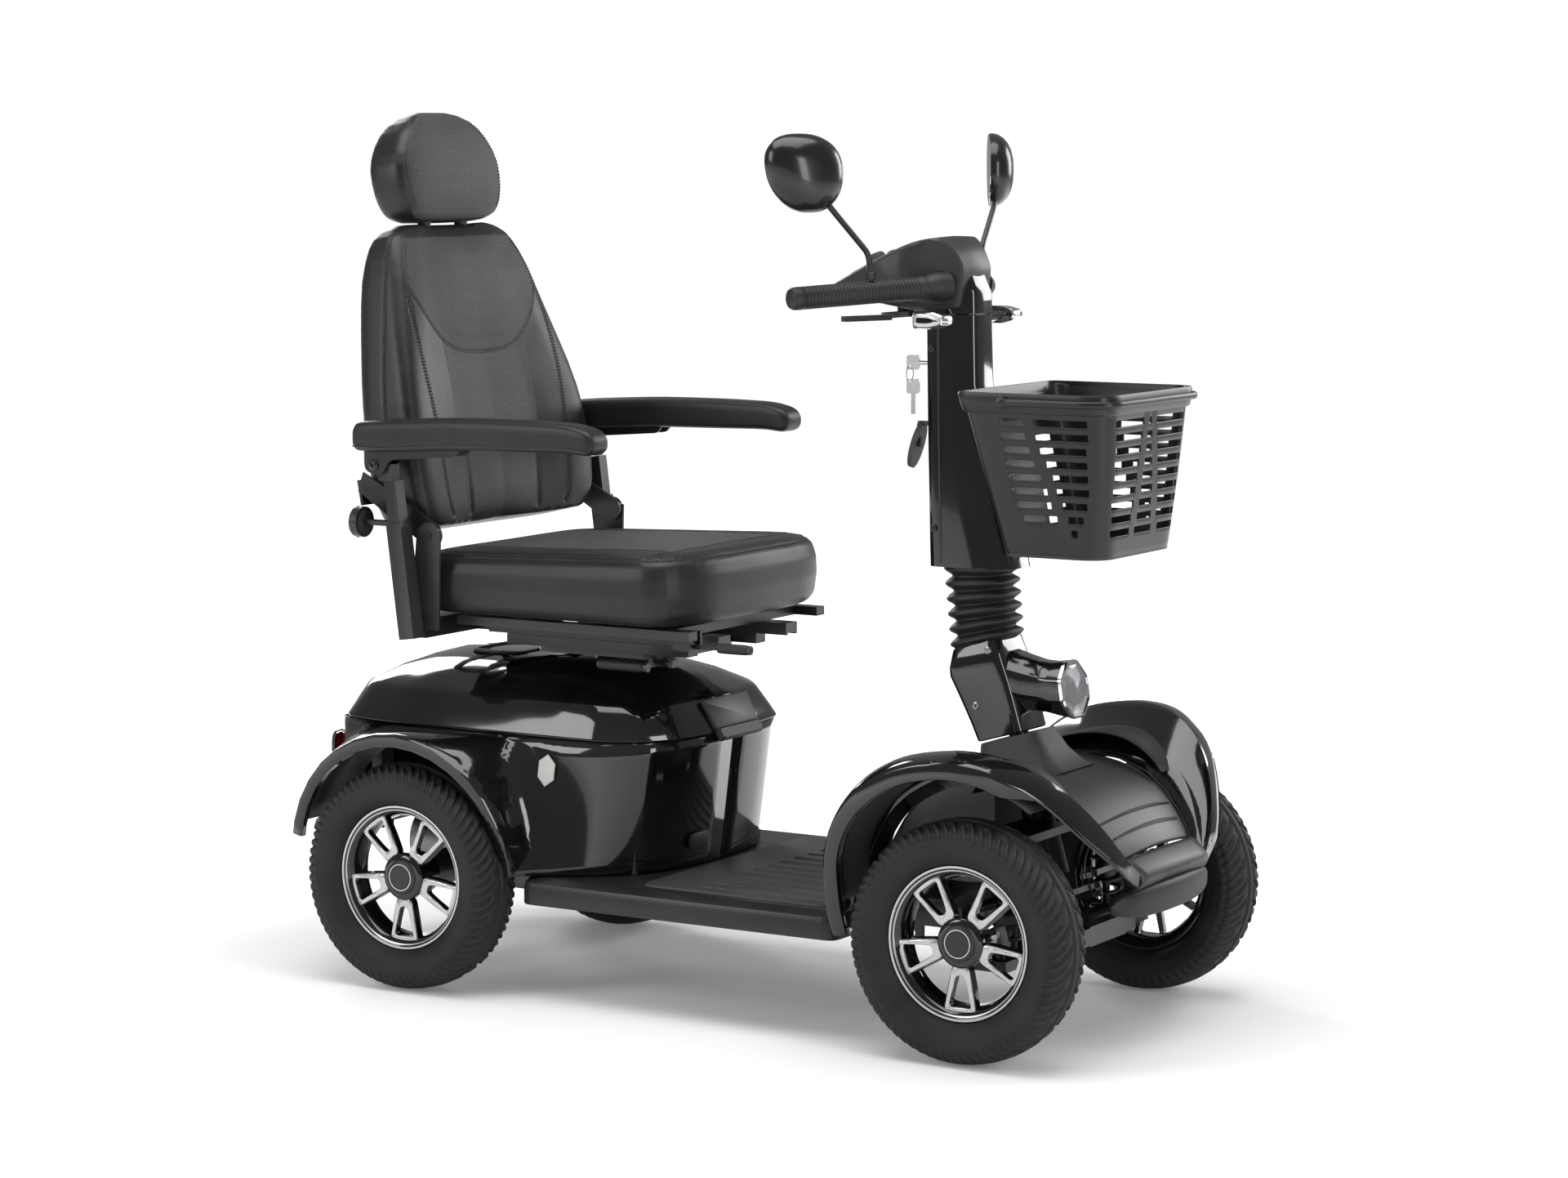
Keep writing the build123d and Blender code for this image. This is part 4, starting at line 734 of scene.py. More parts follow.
# satin nose panel between the arches, toe board behind it, lip in front
top_line = [(306, 196, 194), (330, 190, 262), (360, 182, 330), (392, 172, 368), (440, 164, 386),
            (500, 158, 389),
            (552, 153, 384), (602, 148, 367), (640, 141, 339), (668, 130, 309), (690, 117, 279)]
verts = []
for x, half, z in top_line:
    for k in range(13):
        t = -1 + k / 6
        verts.append((x + 4 * (1 - t * t) * smoothstep(560, 690, x), half * t, z + 9 * (1 - t * t) - 1.5))
build("nose_panel", verts, grid_faces(len(top_line), 13), SATIN, body="chassis", nodes=("nose_cover",),
      slot="satin_grey", solid=3, sub=1)
lip_rows = []
for x, z, half in ((690, 281, 117), (696, 278, 117), (712, 266, 113), (719, 258, 112), (720, 250, 112),
                   (714, 240, 114), (704, 236, 116), (690, 240, 118)):
    for k in range(13):
        t = -1 + k / 6
        lip_rows.append((x + 5 * (1 - t * t), half * t, z + 4 * (1 - t * t)))
build("nose_lip", lip_rows, grid_faces(8, 13), SATIN, body="chassis", slot="body_black", solid=2.5)
# two panel seams across the nose and one along each side
for i, (x, half, z) in enumerate(((652, 118, 332), (672, 108, 312))):
    seam = [(x + 3 * (1 - t * t), half * t, z + 9 * (1 - t * t) - 2.2)
            for t in (k / 6 - 1 for k in range(13))]
    tube(f"nose_seam_{i}", seam, 1.3, RUBBER, n=8, smooth_path=False, body="chassis", slot="satin_grey")
for side_name, sgn in SIDES:
    seam = [(x, sgn * (half - 6), z + 1.2) for x, half, z in top_line[3:]]
    tube(f"nose_edge_{side_name}", resample(seam, 30), 1.6, RUBBER, n=8, smooth_path=False, body="chassis",
         slot="satin_grey")

# steering cone
cone = [tilted_ring(*layer, 6) for layer in (
    (196, -74, 84, 78, 40), (204, -68, 74, 70, 38), (230, -60, 58, 57, 34), (262, -53, 47, 48, 30),
    (265, -51, 45, 46, 28), (262, -47, 41, 42, 26))]
loft("steer_cone", cone, SOFT, caps=(False, False), body="chassis", slot="soft_grey")

# --- neck, headlamp, bellows ----------------------------------------------------------------
neck = [tilted_ring(*layer, 5) for layer in (
    (268, -50, 28, 43, 16), (270, -52, 30, 45, 16), (300, -56, 30, 46, 16), (345, -64, 30, 48, 16),
    (374, -70, 28, 49, 16), (386, -68, 27, 49, 16), (410, -57, 26, 46, 18), (414, -54, 24, 44, 18))]
loft("neck_body", neck, GLOSS, body="steering_column", nodes=("neck_shell",), slot="soft_grey")


def octo(x, r, z=508.0, narrow=1.0):
    """Eight-sided ring round the headlamp's axis."""
    pts = [(r * cos(radians(22.5 + 45 * i)) * narrow, r * sin(radians(22.5 + 45 * i))) for i in range(8)]
    return [(x - 0.16 * p.y, p.x, z + p.y) for p in rounded(pts, 4, 3)]


nacelle = [octo(*layer) for layer in ((425, 48, 522, 0.98), (455, 46, 518), (480, 44, 513), (505, 41, 510),
                                      (525, 42.5), (545, 45), (549, 45), (548, 41), (534, 37))]
loft("lamp_nacelle", nacelle, GLOSS, caps=(True, True), body="steering_column", slot="soft_grey")
turned("lamp_reflector", [(-11, 37), (-16, 30), (-24, 20), (-30, 9), (-31, 0.3)], (549, 0, 508), (1, 0, 0),
       CHROME, n=48, caps=(False, True), body="steering_column", slot="chrome_steel")
for i in range(3):
    turned(f"lamp_cell_{i}", [(-26, 9), (-17, 9.5), (-15, 8), (-13.5, 4), (-13, 0.3)],
           (549, 13 * cos(radians(90 + 120 * i)), 508 + 13 * sin(radians(90 + 120 * i))), (1, 0, 0), LENS,
           n=24, caps=(False, True), body="steering_column", slot="lamp_lens")
glass = [octo(549.5, 40.5), octo(552, 39), octo(553.2, 30), octo(553.8, 12)]
loft("lamp_glass", glass, LENS, body="steering_column", nodes=("headlamp",), slot="lamp_lens")
bezel = [octo(546, 46), octo(551, 46.2), octo(553.5, 44), octo(553.5, 41.5), octo(550, 40.2)]
loft("lamp_bezel", bezel, CHROME, caps=(False, False), body="steering_column", slot="chrome_steel")
for side_name, sgn in SIDES:
    for k, (f, u) in enumerate(((8, 398), (-34, 322))):
        base = tilted(u, f, sgn * 46)
        turned(f"neck_screw_{side_name}_{k}", [(0, 6), (1.6, 6), (2.4, 4.5), (2.4, 3), (0.8, 2.6),
                                               (0.8, 0.3)], base,
               (0, sgn, 0), PLATED, n=20, caps=(False, True), body="steering_column", slot="key_steel")

bell = []
turns = 6
low = Vector((404, 0, 566))
high = Vector((392, 0, 692))
steps = turns * 10
for i in range(steps + 1):
    t = i / steps
    c = low.lerp(high, t)
    wave = (0.5 - 0.5 * cos(2 * pi * turns * t)) ** 0.7
    fat = 40 + 12 * wave + 2 * t
    wide = 41 + 11 * wave
    z_lean = 0.27 * (1 - t)
    ring = [(signed(ca, 0.75) * fat, signed(sa, 0.75) * wide) for ca, sa in circle(48)]
    bell.append([(c.x + x, y, c.z + x * z_lean) for x, y in ring])
bellows = loft("gaiter", bell, RUBBER, caps=(False, False), nodes=("bellows",), slot="bellows_rubber", sub=1)
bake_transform(bellows)

# --- column: satin spine behind, gloss front shell with soft bevels --------------------------
COL_BACK = [(684, 328), (760, 326), (900, 322), (1060, 318), (1100, 322), (1140, 334), (1168, 344)]
COL_FRONT = [(684, 462), (760, 444), (860, 421), (957, 398), (1060, 395), (1093, 394), (1129, 379),
             (1158, 358), (1170, 350)]
COL_HALF = [(684, 52), (760, 53), (957, 50), (1093, 47), (1140, 42), (1160, 34), (1170, 24)]


def column_ring(z, grow=0.0):
    b = interp(COL_BACK, z) - grow
    f = interp(COL_FRONT, z) + grow
    h = interp(COL_HALF, z) + grow
    taper = 0.62  # half width of the front face, as a share of the column's
    pts = [(b, -h * 0.86), (b + 12, -h), (b + (f - b) * 0.55, -h), (f - 10, -h * taper - 4),
           (f, -h * taper + 4),
           (f, h * taper - 4), (f - 10, h * taper + 4), (b + (f - b) * 0.55, h), (b + 12, h), (b, h * 0.86)]
    return [(p.x, p.y, z) for p in rounded(pts, [6, 8, 8, 7, 7, 7, 7, 8, 8, 6], 3)]


col = [column_ring(z) for z in (684, 690, 720, 780, 840, 900, 957, 1010, 1060)]
loft("column_shell", col, GLOSS, body="tiller", nodes=("tiller_cover",), slot="satin_grey")
head = [column_ring(z, 0.8) for z in (1062, 1080, 1093, 1105, 1117, 1129, 1140, 1150, 1158, 1164, 1169)]
loft("column_head", head, GLOSS, body="tiller", slot="gloss_black")
# spine strip down the back, satin
spine = []
for z in (690, 760, 840, 920, 1000, 1058):
    b, h = interp(COL_BACK, z), interp(COL_HALF, z)
    pts = rounded([(b - 2.5, -h * 0.8), (b + 26, -h - 1.6), (b + 26, h + 1.6), (b - 2.5, h * 0.8)],
                  [9, 2, 2, 9], 4)
    spine.append([(p.x, p.y, z) for p in pts])
loft("column_spine", spine, SATIN, body="tiller", slot="satin_grey")
for side_name, sgn in SIDES:
    for k, z in enumerate((742, 1010)):
        turned(f"column_screw_{side_name}_{k}", [(0, 5.5), (1.5, 5.5), (2, 4), (0.6, 2.6), (0.6, 0.3)],
               (interp(COL_BACK, z) + 13, sgn * (interp(COL_HALF, z) + 0.4), z), (0, sgn, 0), STEEL, n=20,
               caps=(False, True), body="tiller", slot="black_steel")

# dash: a wedge towards the rider, with a lipped instrument face
DASH = [(172, 1088), (172, 1102), (186, 1109), (240, 1138), (296, 1163), (318, 1170), (348, 1176),
        (372, 1156), (384, 1130), (376, 1072), (330, 1066), (296, 1070), (230, 1080)]
rings = []
for y, inset in ((-78, 9), (-75, 3), (-70, 0), (-30, -2), (0, -3), (30, -2), (70, 0), (75, 3), (78, 9)):
    cx, cz = 285, 1115
    ring = []
    for p in rounded(DASH, [8, 8, 12, 20, 20, 14, 14, 12, 10, 6, 6, 8, 10], 4):
        d = Vector((p.x - cx, p.y - cz))
        k = (d.length - inset) / d.length
        narrow = smoothstep(330, 384, p.x) * 0.42 * abs(y)
        ring.append((cx + d.x * k, y * (1 - smoothstep(318, 384, p.x) * 0.4), cz + d.y * k - 0.03 * narrow))
    rings.append(ring)
loft("dash_shell", rings, SATIN, body="tiller", nodes=("console",), slot="gloss_black")
dash_low, dash_high = Vector((192, 0, 1113)), Vector((300, 0, 1166))
dd = (dash_high - dash_low).normalized()
dn = Vector((-dd.z, 0, dd.x))


def on_dash(up, y, out):
    p = dash_low + dd * up + dn * out
    return (p.x, y, p.z)


face = []
for out, g in ((0.5, 0), (2.6, 0), (3.2, -3), (1.8, -5)):
    pts = rounded([(-62 - g, 6 - g), (62 + g, 6 - g), (56 + g, 108 + g), (-56 - g, 108 + g)], 14, 5)
    face.append([on_dash(p.y, p.x, out) for p in pts])
loft("dash_face", face, GLOSS, body="tiller", slot="gloss_black")
screen = [[on_dash(p.y, p.x, out) for p in patch(-30, 30, 60, 98, g, 5)] for out,
          g in ((2.2, 0), (3.6, 0), (4.2, -2))]
loft("dash_screen", screen, LENS, body="tiller", slot="clear_lens")
for k, (up, y) in enumerate(((22, 12), (22, 36), (42, 12), (42, 36), (80, 46), (80, -46))):
    p = Vector(on_dash(up, y, 2))
    turned(f"dash_button_{k}", [(0, 7.5), (2.6, 7.5), (3.6, 6.4), (3.2, 0.3)], p, dn, SOFT, n=24,
           caps=(False, True), body="tiller", slot="soft_grey")

# speed dial: ribbed skirt and a pointer line
knob_c = Vector((235, -38, 1136.5))
kx = Vector((0, 1, 0))
ky = Vector((-0.436, 0, 0.9))
kz = kx.cross(ky)
rings = []
for out, r, ridge in ((1, 14.5, 0), (2, 14.5, 1), (9, 13.2, 1), (11.5, 12.2, 0.5), (13, 10.5, 0),
                      (13.2, 3, 0)):
    ring = []
    for k in range(72):
        a = 2 * pi * k / 72
        rr = r - ridge * 0.7 * (0.5 + 0.5 * cos(18 * a))
        ring.append(knob_c + ky * out + (kx * cos(a) + kz * sin(a)) * rr)
    rings.append(ring)
loft("speed_dial_cap", rings, SOFT, body="speed_dial", nodes=("speed_knob",), slot="soft_grey")
tube("speed_dial_mark", [knob_c + ky * 13.4 + kz * 3, knob_c + ky * 13.0 + kz * 10.5], 0.8, PLATED, n=8,
     smooth_path=False, body="speed_dial", slot="key_steel")


# --- handlebar with ribbed grips ---------------------------------------------------------------
for side_name, sgn in SIDES:
    root = Vector((346, sgn * 75, 1102))
    d = (Vector((236, sgn * 298, 1090)) - root).normalized()
    prof = [(-28, 21), (-10, 21.5), (2, 20), (8, 17), (14, 15.5)]
    turned(f"bar_boot_{side_name}", prof, root, d, RUBBER, n=40, body="tiller", slot="grip_rubber")
    prof = [(12, 12.0), (14, 17.6), (20, 18.2), (24, 17.0)]
    for k in range(34):
        z = 28 + k * 6
        prof += [(z, 16.9), (z + 1.2, 16.2), (z + 2.2, 16.2), (z + 3.4, 16.9)]
    prof += [(236, 17.0), (243, 16.6), (247.5, 14.5), (249.4, 10), (250, 3)]
    turned(f"grip_{side_name}", prof, root, d, RUBBER, n=40, body="tiller",
           nodes=("handlebar",), slot="grip_rubber")

# indicators: stalk, bright U rim, clear lens
for side_name, sgn in SIDES:
    tube(f"signal_stalk_{side_name}", [(360, sgn * 44, 1052), (366, sgn * 70, 1054), (368, sgn * 98, 1055)],
         7, RUBBER, body="tiller", slot="grip_rubber")

    for part, mat, extra, layers in (("case", CHROME, {"nodes": ("turn_signals",)},
                                      ((96, -3), (98, -0.5), (110, 0), (124, -0.5), (127, -3))),
                                     ("lens", AMBER, {}, ((126.4, -4.0), (128.4, -4.5), (129, -7))),
                                     ("core", GLOSS, {}, ((127, -9.2), (129.8, -9.2)))):
        rings = [[(p.x, sgn * y, p.y) for p in rounded(
            [(341 - g, 1042 - g), (372, 1042 - g), (394 + g, 1047 - g), (394 + g, 1063 + g),
             (372, 1068.5 + g), (341 - g, 1068.5 + g)], 7, 4)] for y, g in layers]
        loft(f"signal_{part}_{side_name}", rings, mat, body="tiller", slot="clear_lens", **extra)

# mirrors: egg-shaped shell, flat glass, bent stalk with a lock nut
for side_name, sgn in SIDES:
    body = f"mirror_{side_name}_body"
    foot = Vector((297.7, sgn * 173, 1116))
    bend, neckp, headp = Vector((296, sgn * 173, 1152)), Vector((278, sgn * 249, 1218)), Vector((258,
            sgn * 284, 1262))
    tube(f"mirror_stalk_{side_name}", [foot, bend, neckp, headp], 4.6, STEEL, n=20, body=body,
         slot="mirror_shell", nodes=(f"mirror_{side_name}",))
    turned(f"mirror_nut_{side_name}", [(-1, 7.2), (0, 8.2), (9, 8.2), (10, 7.2), (13, 6.2), (13, 4.4)], foot,
           (0, 0, 1), STEEL, n=6, smooth=False, bevel=0.5, body=body, slot="black_steel")
    turned(f"mirror_joint_{side_name}", [(-16, 4.8), (-14, 7), (0, 7.3), (8, 6)], headp, (headp - neckp),
           RUBBER, n=24, body=body, slot="black_steel")
    back = Vector((0.857, sgn * 0.515, 0))
    right = Vector((-back.y, back.x, 0))
    c0 = Vector((256, sgn * 289, 1271))
    for part, mat, layers in (("shell", SHELL, ((-8, 0.93), (-8.5, 0.98), (-6, 1.0), (-1, 1.0), (6, 0.97),
                                                (14, 0.88), (21, 0.74), (26, 0.56), (29, 0.34), (30, 0.12))),
                              ("glass", MIRROR, ((-8.2, 0.925), (-8.9, 0.915), (-8.9, 0.5), (-8.9, 0.02)))):
        eggs = []
        for out, k in layers:
            eggs.append([c0 + back * out + right * (61 * signed(ca,
                    0.86) * (1 + 0.13 * sa) * k + sgn * 9 * sa * k)
                         + UP * (57 * signed(sa, 0.9) * k) for ca, sa in circle(56)])
        loft(f"mirror_{part}_{side_name}", eggs, mat, body=body, slot="mirror_shell")

# --- basket: curved slotted walls, thick rim, floor ---------------------------------------------
B_LOW, B_TOP = 716.0, 955.0
BASKET_N = 240  # points round the basket


def basket_outline(z, grow):
    t = (z - B_LOW) / (B_TOP - B_LOW)
    sag = 6 * sin(pi * t)
    x0 = 491 - 60 * t
    x1 = 655 + 17 * t + sag * 0.3
    half = 124 + 29 * t
    return [(p.x, p.y) for p in resample(patch(x0, x1, -half, half, grow, [26, 44, 44, 26], 10), BASKET_N,
                                         True)]


def basket_wall():
    """Grid of faces with the slots left out; every second row of it can be open."""
    count = BASKET_N
    slots = [(z, z + 10) for z in range(748, 909, 20)]
    rows_z = [B_LOW + 2, 726, 742, *[z for pair in slots for z in pair], 936, B_TOP]
    rings = [basket_outline(z, 0) for z in rows_z]
    xs_mid = sum(p[0] for p in rings[0]) / count
    verts = [(x, y, z) for z, ring in zip(rows_z, rings) for x, y in ring]
    faces = []
    for i in range(len(rows_z) - 1):
        z = (rows_z[i] + rows_z[i + 1]) / 2
        open_row = any(a < z < b for a, b in slots)
        k = next((n for n, (a, b) in enumerate(slots) if a < z < b), 0)
        for j in range(count):
            x, y = rings[i][j]
            hole = False
            if open_row:
                t = (z - B_LOW) / (B_TOP - B_LOW)
                half = 124 + 29 * t
                if abs(y) > half - 12:
                    # side wall: two groups with an S-shaped rib between them
                    rib = 566 + 34 * cos(pi * min(1, t * 1.05)) + 10 * t
                    left = 522 - 30 * t + 26 * smoothstep(0.5, 0.0, t)
                    right = 632 + 8 * t
                    hole = (left < x < rib - 9
                            and k > 0) or (rib + 9 < x < right - 26 * smoothstep(0.35, 0.0, t))
                elif x > xs_mid + 40:
                    rib = 16 + 34 * (1 - t)
                    hole = (rib < abs(y) < 100 + 12 * t) or (abs(y) < rib - 18)
                elif x < xs_mid - 40:
                    hole = 46 < abs(y) < 108 and z < 890
            if not hole:
                a, b = i * count + j, i * count + (j + 1) % count
                faces.append((a, b, b + count, a + count))
    build("basket_walls", verts, faces, BASKET, body="basket_body", nodes=("basket",), slot="basket_plastic",
                 solid=3.2, bevel=0.7, angle=50)


basket_wall()
floor = [[(x, y, B_LOW + up) for x, y in basket_outline(B_LOW + at, g)]
         for up, at, g in ((0, 0, -1.5), (-0.9, 0, 0), (3, 3, 0), (3, 0, -6))]
loft("basket_floor", floor, BASKET, body="basket_body", slot="basket_plastic")
rim = [[(x, y, z) for x, y in basket_outline(min(z, B_TOP), g)] for z, g in (
    (928, 1), (926, 3), (928, 4.6), (940, 5.2), (951, 5.2), (955, 3.4), (954.4, 0.5), (950, -3.2),
    (930, -3.4))]
build("basket_rim", [v for r in rim for v in r], grid_faces(len(rim), BASKET_N, True, True), BASKET,
      body="basket_body", slot="basket_plastic")
tab = [[(p.x, p.y, z) for p in patch(432, 447, -34 - g, 34 + g, 0, 4, 3)]
       for z, g in ((890, 0), (894, 3), (934, 3), (938, 0))]
loft("basket_hook", tab, BASKET, body="basket_body", slot="basket_plastic")
brk = []
for y, g in ((-42, 3), (-40, 0), (40, 0), (42, 3)):
    brk.append([(p.x, y, p.y) for p in rounded([(402 + g, 884 + g), (444 - g, 884 + g), (444 - g, 893 - g),
            (431 - g, 897), (429 - g, 946 - g), (402 + g, 946 - g)], 3, 3)])
loft("basket_bracket", brk, SATIN, body="tiller", slot="satin_grey")
# bail handle lying on the rim, turned on two rivets
half = [(508, 161.5), (560, 161.5), (650, 161.5), (682, 138), (682, 0)]
bail = half + [(x, -y) for x, y in half[-2::-1]]
path = ease([Vector((x, y, 942)) for x, y in bail], False, 30, 8)
rings = []
for i, p in enumerate(path):
    d = (path[min(i + 1, len(path) - 1)] - path[max(i - 1, 0)]).normalized()
    side_v = Vector((-d.y, d.x, 0))
    rings.append([p + side_v * 2.6 * ca + UP * 5.2 * signed(sa, 0.7) for ca, sa in circle(12)])
loft("bail_bar", rings, BASKET, body="basket_bail", nodes=("basket_handle",), slot="basket_plastic")
for side_name, sgn in SIDES:
    turned(f"bail_eye_{side_name}", [(-2.6, 9), (-1.8, 10), (1.8, 10), (2.6, 9), (2.6, 4.3), (-2.6, 4.3)],
           (508, sgn * 161.5, 942), (0, sgn, 0), BASKET, n=32, closed=True, body="basket_bail",
           slot="basket_plastic")
    turned(f"basket_rivet_{side_name}", [(-12, 4), (4, 4), (4, 7), (5.4, 6.2), (6.2, 3.4), (6.4, 0.3)],
           (508, sgn * 160.5, 942), (0, sgn, 0), STEEL, n=28, caps=(False, True), body="basket_body",
           slot="black_steel")

# --- springs as real coils ------------------------------------------------------------------------
def coil(name, centre, z0, z1, radius, wire, nodes, turns=8):
    """Coil spring: a round wire wound along a helix between two heights."""
    path = []
    n = int(turns * 20)
    for i in range(n + 1):
        t = i / n
        z = z0 + wire + (z1 - z0 - 2 * wire) * t
        a = 2 * pi * turns * t
        path.append((centre[0] + radius * cos(a), centre[1] + radius * sin(a), z))
    spring = tube(name, path, wire, STEEL, n=12, smooth_path=False, nodes=nodes, slot="spring_steel")
    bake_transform(spring)


for side_name, sgn in SIDES:
    coil(f"rear_coil_{side_name}", (REAR_X, sgn * 140), 213, 411, 23.5, 4, ("rear_springs",))
    coil(f"front_coil_{side_name}", (FRONT_X, sgn * 150), 139, 297, 21.5, 3.6, (f"front_spring_{side_name}",))

# --- armrests: moulded pads with a soft edge, bolted cheeks ----------------------------------------
ARM_TOP = [(-553, 872), (-548, 884), (-500, 889), (-366, 896), (-240, 897), (-150, 895), (-112, 886),
           (-104, 872)]
ARM_LOW = [(-553, 846), (-548, 838), (-500, 837), (-366, 846), (-240, 848), (-150, 850), (-112, 846),
           (-104, 858)]


def arm_section(x, y0, half):
    top, low = interp(ARM_TOP, x), interp(ARM_LOW, x)
    h = (top - low) / 2
    zc = (top + low) / 2
    ring = []
    for ca, sa in circle(32):
        py = signed(ca, 0.42) * half
        pz = signed(sa, 0.62 if sa > 0 else 0.35) * h
        ring.append((x, y0 + py, zc + pz - (2.2 * (1 - (py / half) ** 2) if sa > 0.3 else 0) * 0.4))
    return ring


for side_name, sgn in SIDES:
    body = f"armrest_{side_name}_body"
    y0 = sgn * 284
    rings = []
    for x in (-553, -551, -546, -538, -520, -480, -420, -366, -300, -240, -190, -150, -130, -118, -110, -106,
              -104):
        end = min(1, ((x + 553.5) / 16) if x < -500 else 1, ((-103.5 - x) / 22))
        half = 27.5 * (0.72 + 0.28 * sqrt(max(0, 1 - (1 - max(0, end)) ** 2)))
        rings.append(arm_section(x, y0, half * (0.97 + 0.03 * sin((x + 550) / 150))))
    pad = loft(f"armrest_pad_{side_name}", rings, SKIN, body=body, nodes=(f"armrest_{side_name}",),
               slot="armrest_pu", sub=1)
    seam = [(x, y0 + sgn * 27.3, interp(ARM_LOW, x) + 8) for x in (-548, -500, -366, -240, -150, -112)]
    tube(f"armrest_part_{side_name}", resample(seam, 24), 0.9, RUBBER, n=8, smooth_path=False, body=body,
         slot="armrest_pu")
    # steel channel under the pad and its two cheeks
    for t, yy in (("outer", sgn * 13.5), ("inner", -sgn * 13.5)):
        shape = rounded([(-534, 806), (-498, 802), (-488, 826), (-360, 836), (-352, 846), (-534, 846)],
                        [14, 14, 16, 8, 2, 6], 5)
        cheek = [[(p.x, y0 + yy + dy, p.y) for p in shape] for dy in (-2.5, 2.5)]
        loft(f"armrest_cheek_{side_name}_{t}", cheek, SKIN, body=body, slot="armrest_pu", bevel=0.8)
    turned(f"armrest_bolt_{side_name}", [(0, 8.5), (2.2, 8.5), (4.4, 6.2), (5.2, 3.4), (3.2, 3.0),
                                         (3.2, 0.3)], (-515, y0 + sgn * 16, 817), (0, sgn, 0), STEEL, n=32,
           caps=(False, True), body=body, slot="black_steel")

# clamp knobs: lobed grips over the CAD shafts
for side_name, sgn in SIDES:
    body = f"armrest_post_{side_name}_body"
    rings = []
    for x, r, lobe in ((-545.8, 18, 0), (-547, 21, 1.5), (-556, 23, 2.4), (-559.4, 20, 1.8), (-560.2, 13, 0),
                       (-560.3, 2, 0)):
        radii = [r + lobe * cos(7 * 2 * pi * k / 84) for k in range(84)]
        rings.append([(x, sgn * 284 + rr * ca, 726 + rr * sa) for rr, (ca, sa) in zip(radii, circle(84))])
    loft(f"clamp_knob_{side_name}", rings, SOFT, body=body, slot="soft_grey")

# mounting plate and hardware under the seat: bolt heads, lever grips
for k, (x, y) in enumerate(((-310, -80), (-310, 80), (-144, -80), (-144, 80))):
    turned(f"seat_bolt_{k}", [(0, 8), (5, 8), (6, 6.5), (6, 0.3)], (x, y, 526), (0, 0, 1), PLATED, n=6,
           smooth=False, bevel=0.5, caps=(False, True), body="seat_swivel_base", slot="key_steel")
turned("slide_grip", [(-2, 5), (0, 7.6), (6, 8), (46, 8), (54, 7.2), (57.5, 4), (58, 0.4)], (29, -162, 552),
       (1, 0, 0), RUBBER, n=32, body="slide_release", slot="grip_rubber")
turned("swivel_grip", [(0, 4), (1, 7.4), (5, 8), (76, 8), (84, 7), (88, 3)], (-169, -192, 518), (1, 0, 0),
       RUBBER, n=32, body="swivel_release", slot="grip_rubber")

# --- cushions: a closed form, puffed by cloth pressure with its seams held ----------------------------
def near(path):
    """Tree that tells how far a point is from a line."""
    pts = resample(path, 400)
    tree = KDTree(len(pts))
    for i, p in enumerate(pts):
        tree.insert(p * MM, i)
    tree.balance()
    return tree


def calm(mesh, moves, rounds):
    """Averages moves over the surface: the swell stays and the short folds go."""
    ends = np.empty(len(mesh.edges) * 2, int)
    mesh.edges.foreach_get("vertices", ends)
    a, b = ends.reshape(-1, 2).T
    count = np.maximum(np.bincount(ends, minlength=len(moves)), 1)[:, None]
    for _ in range(rounds):
        total = np.zeros_like(moves)
        np.add.at(total, a, moves[b])
        np.add.at(total, b, moves[a])
        moves = (moves + total / count) / 2
    return moves


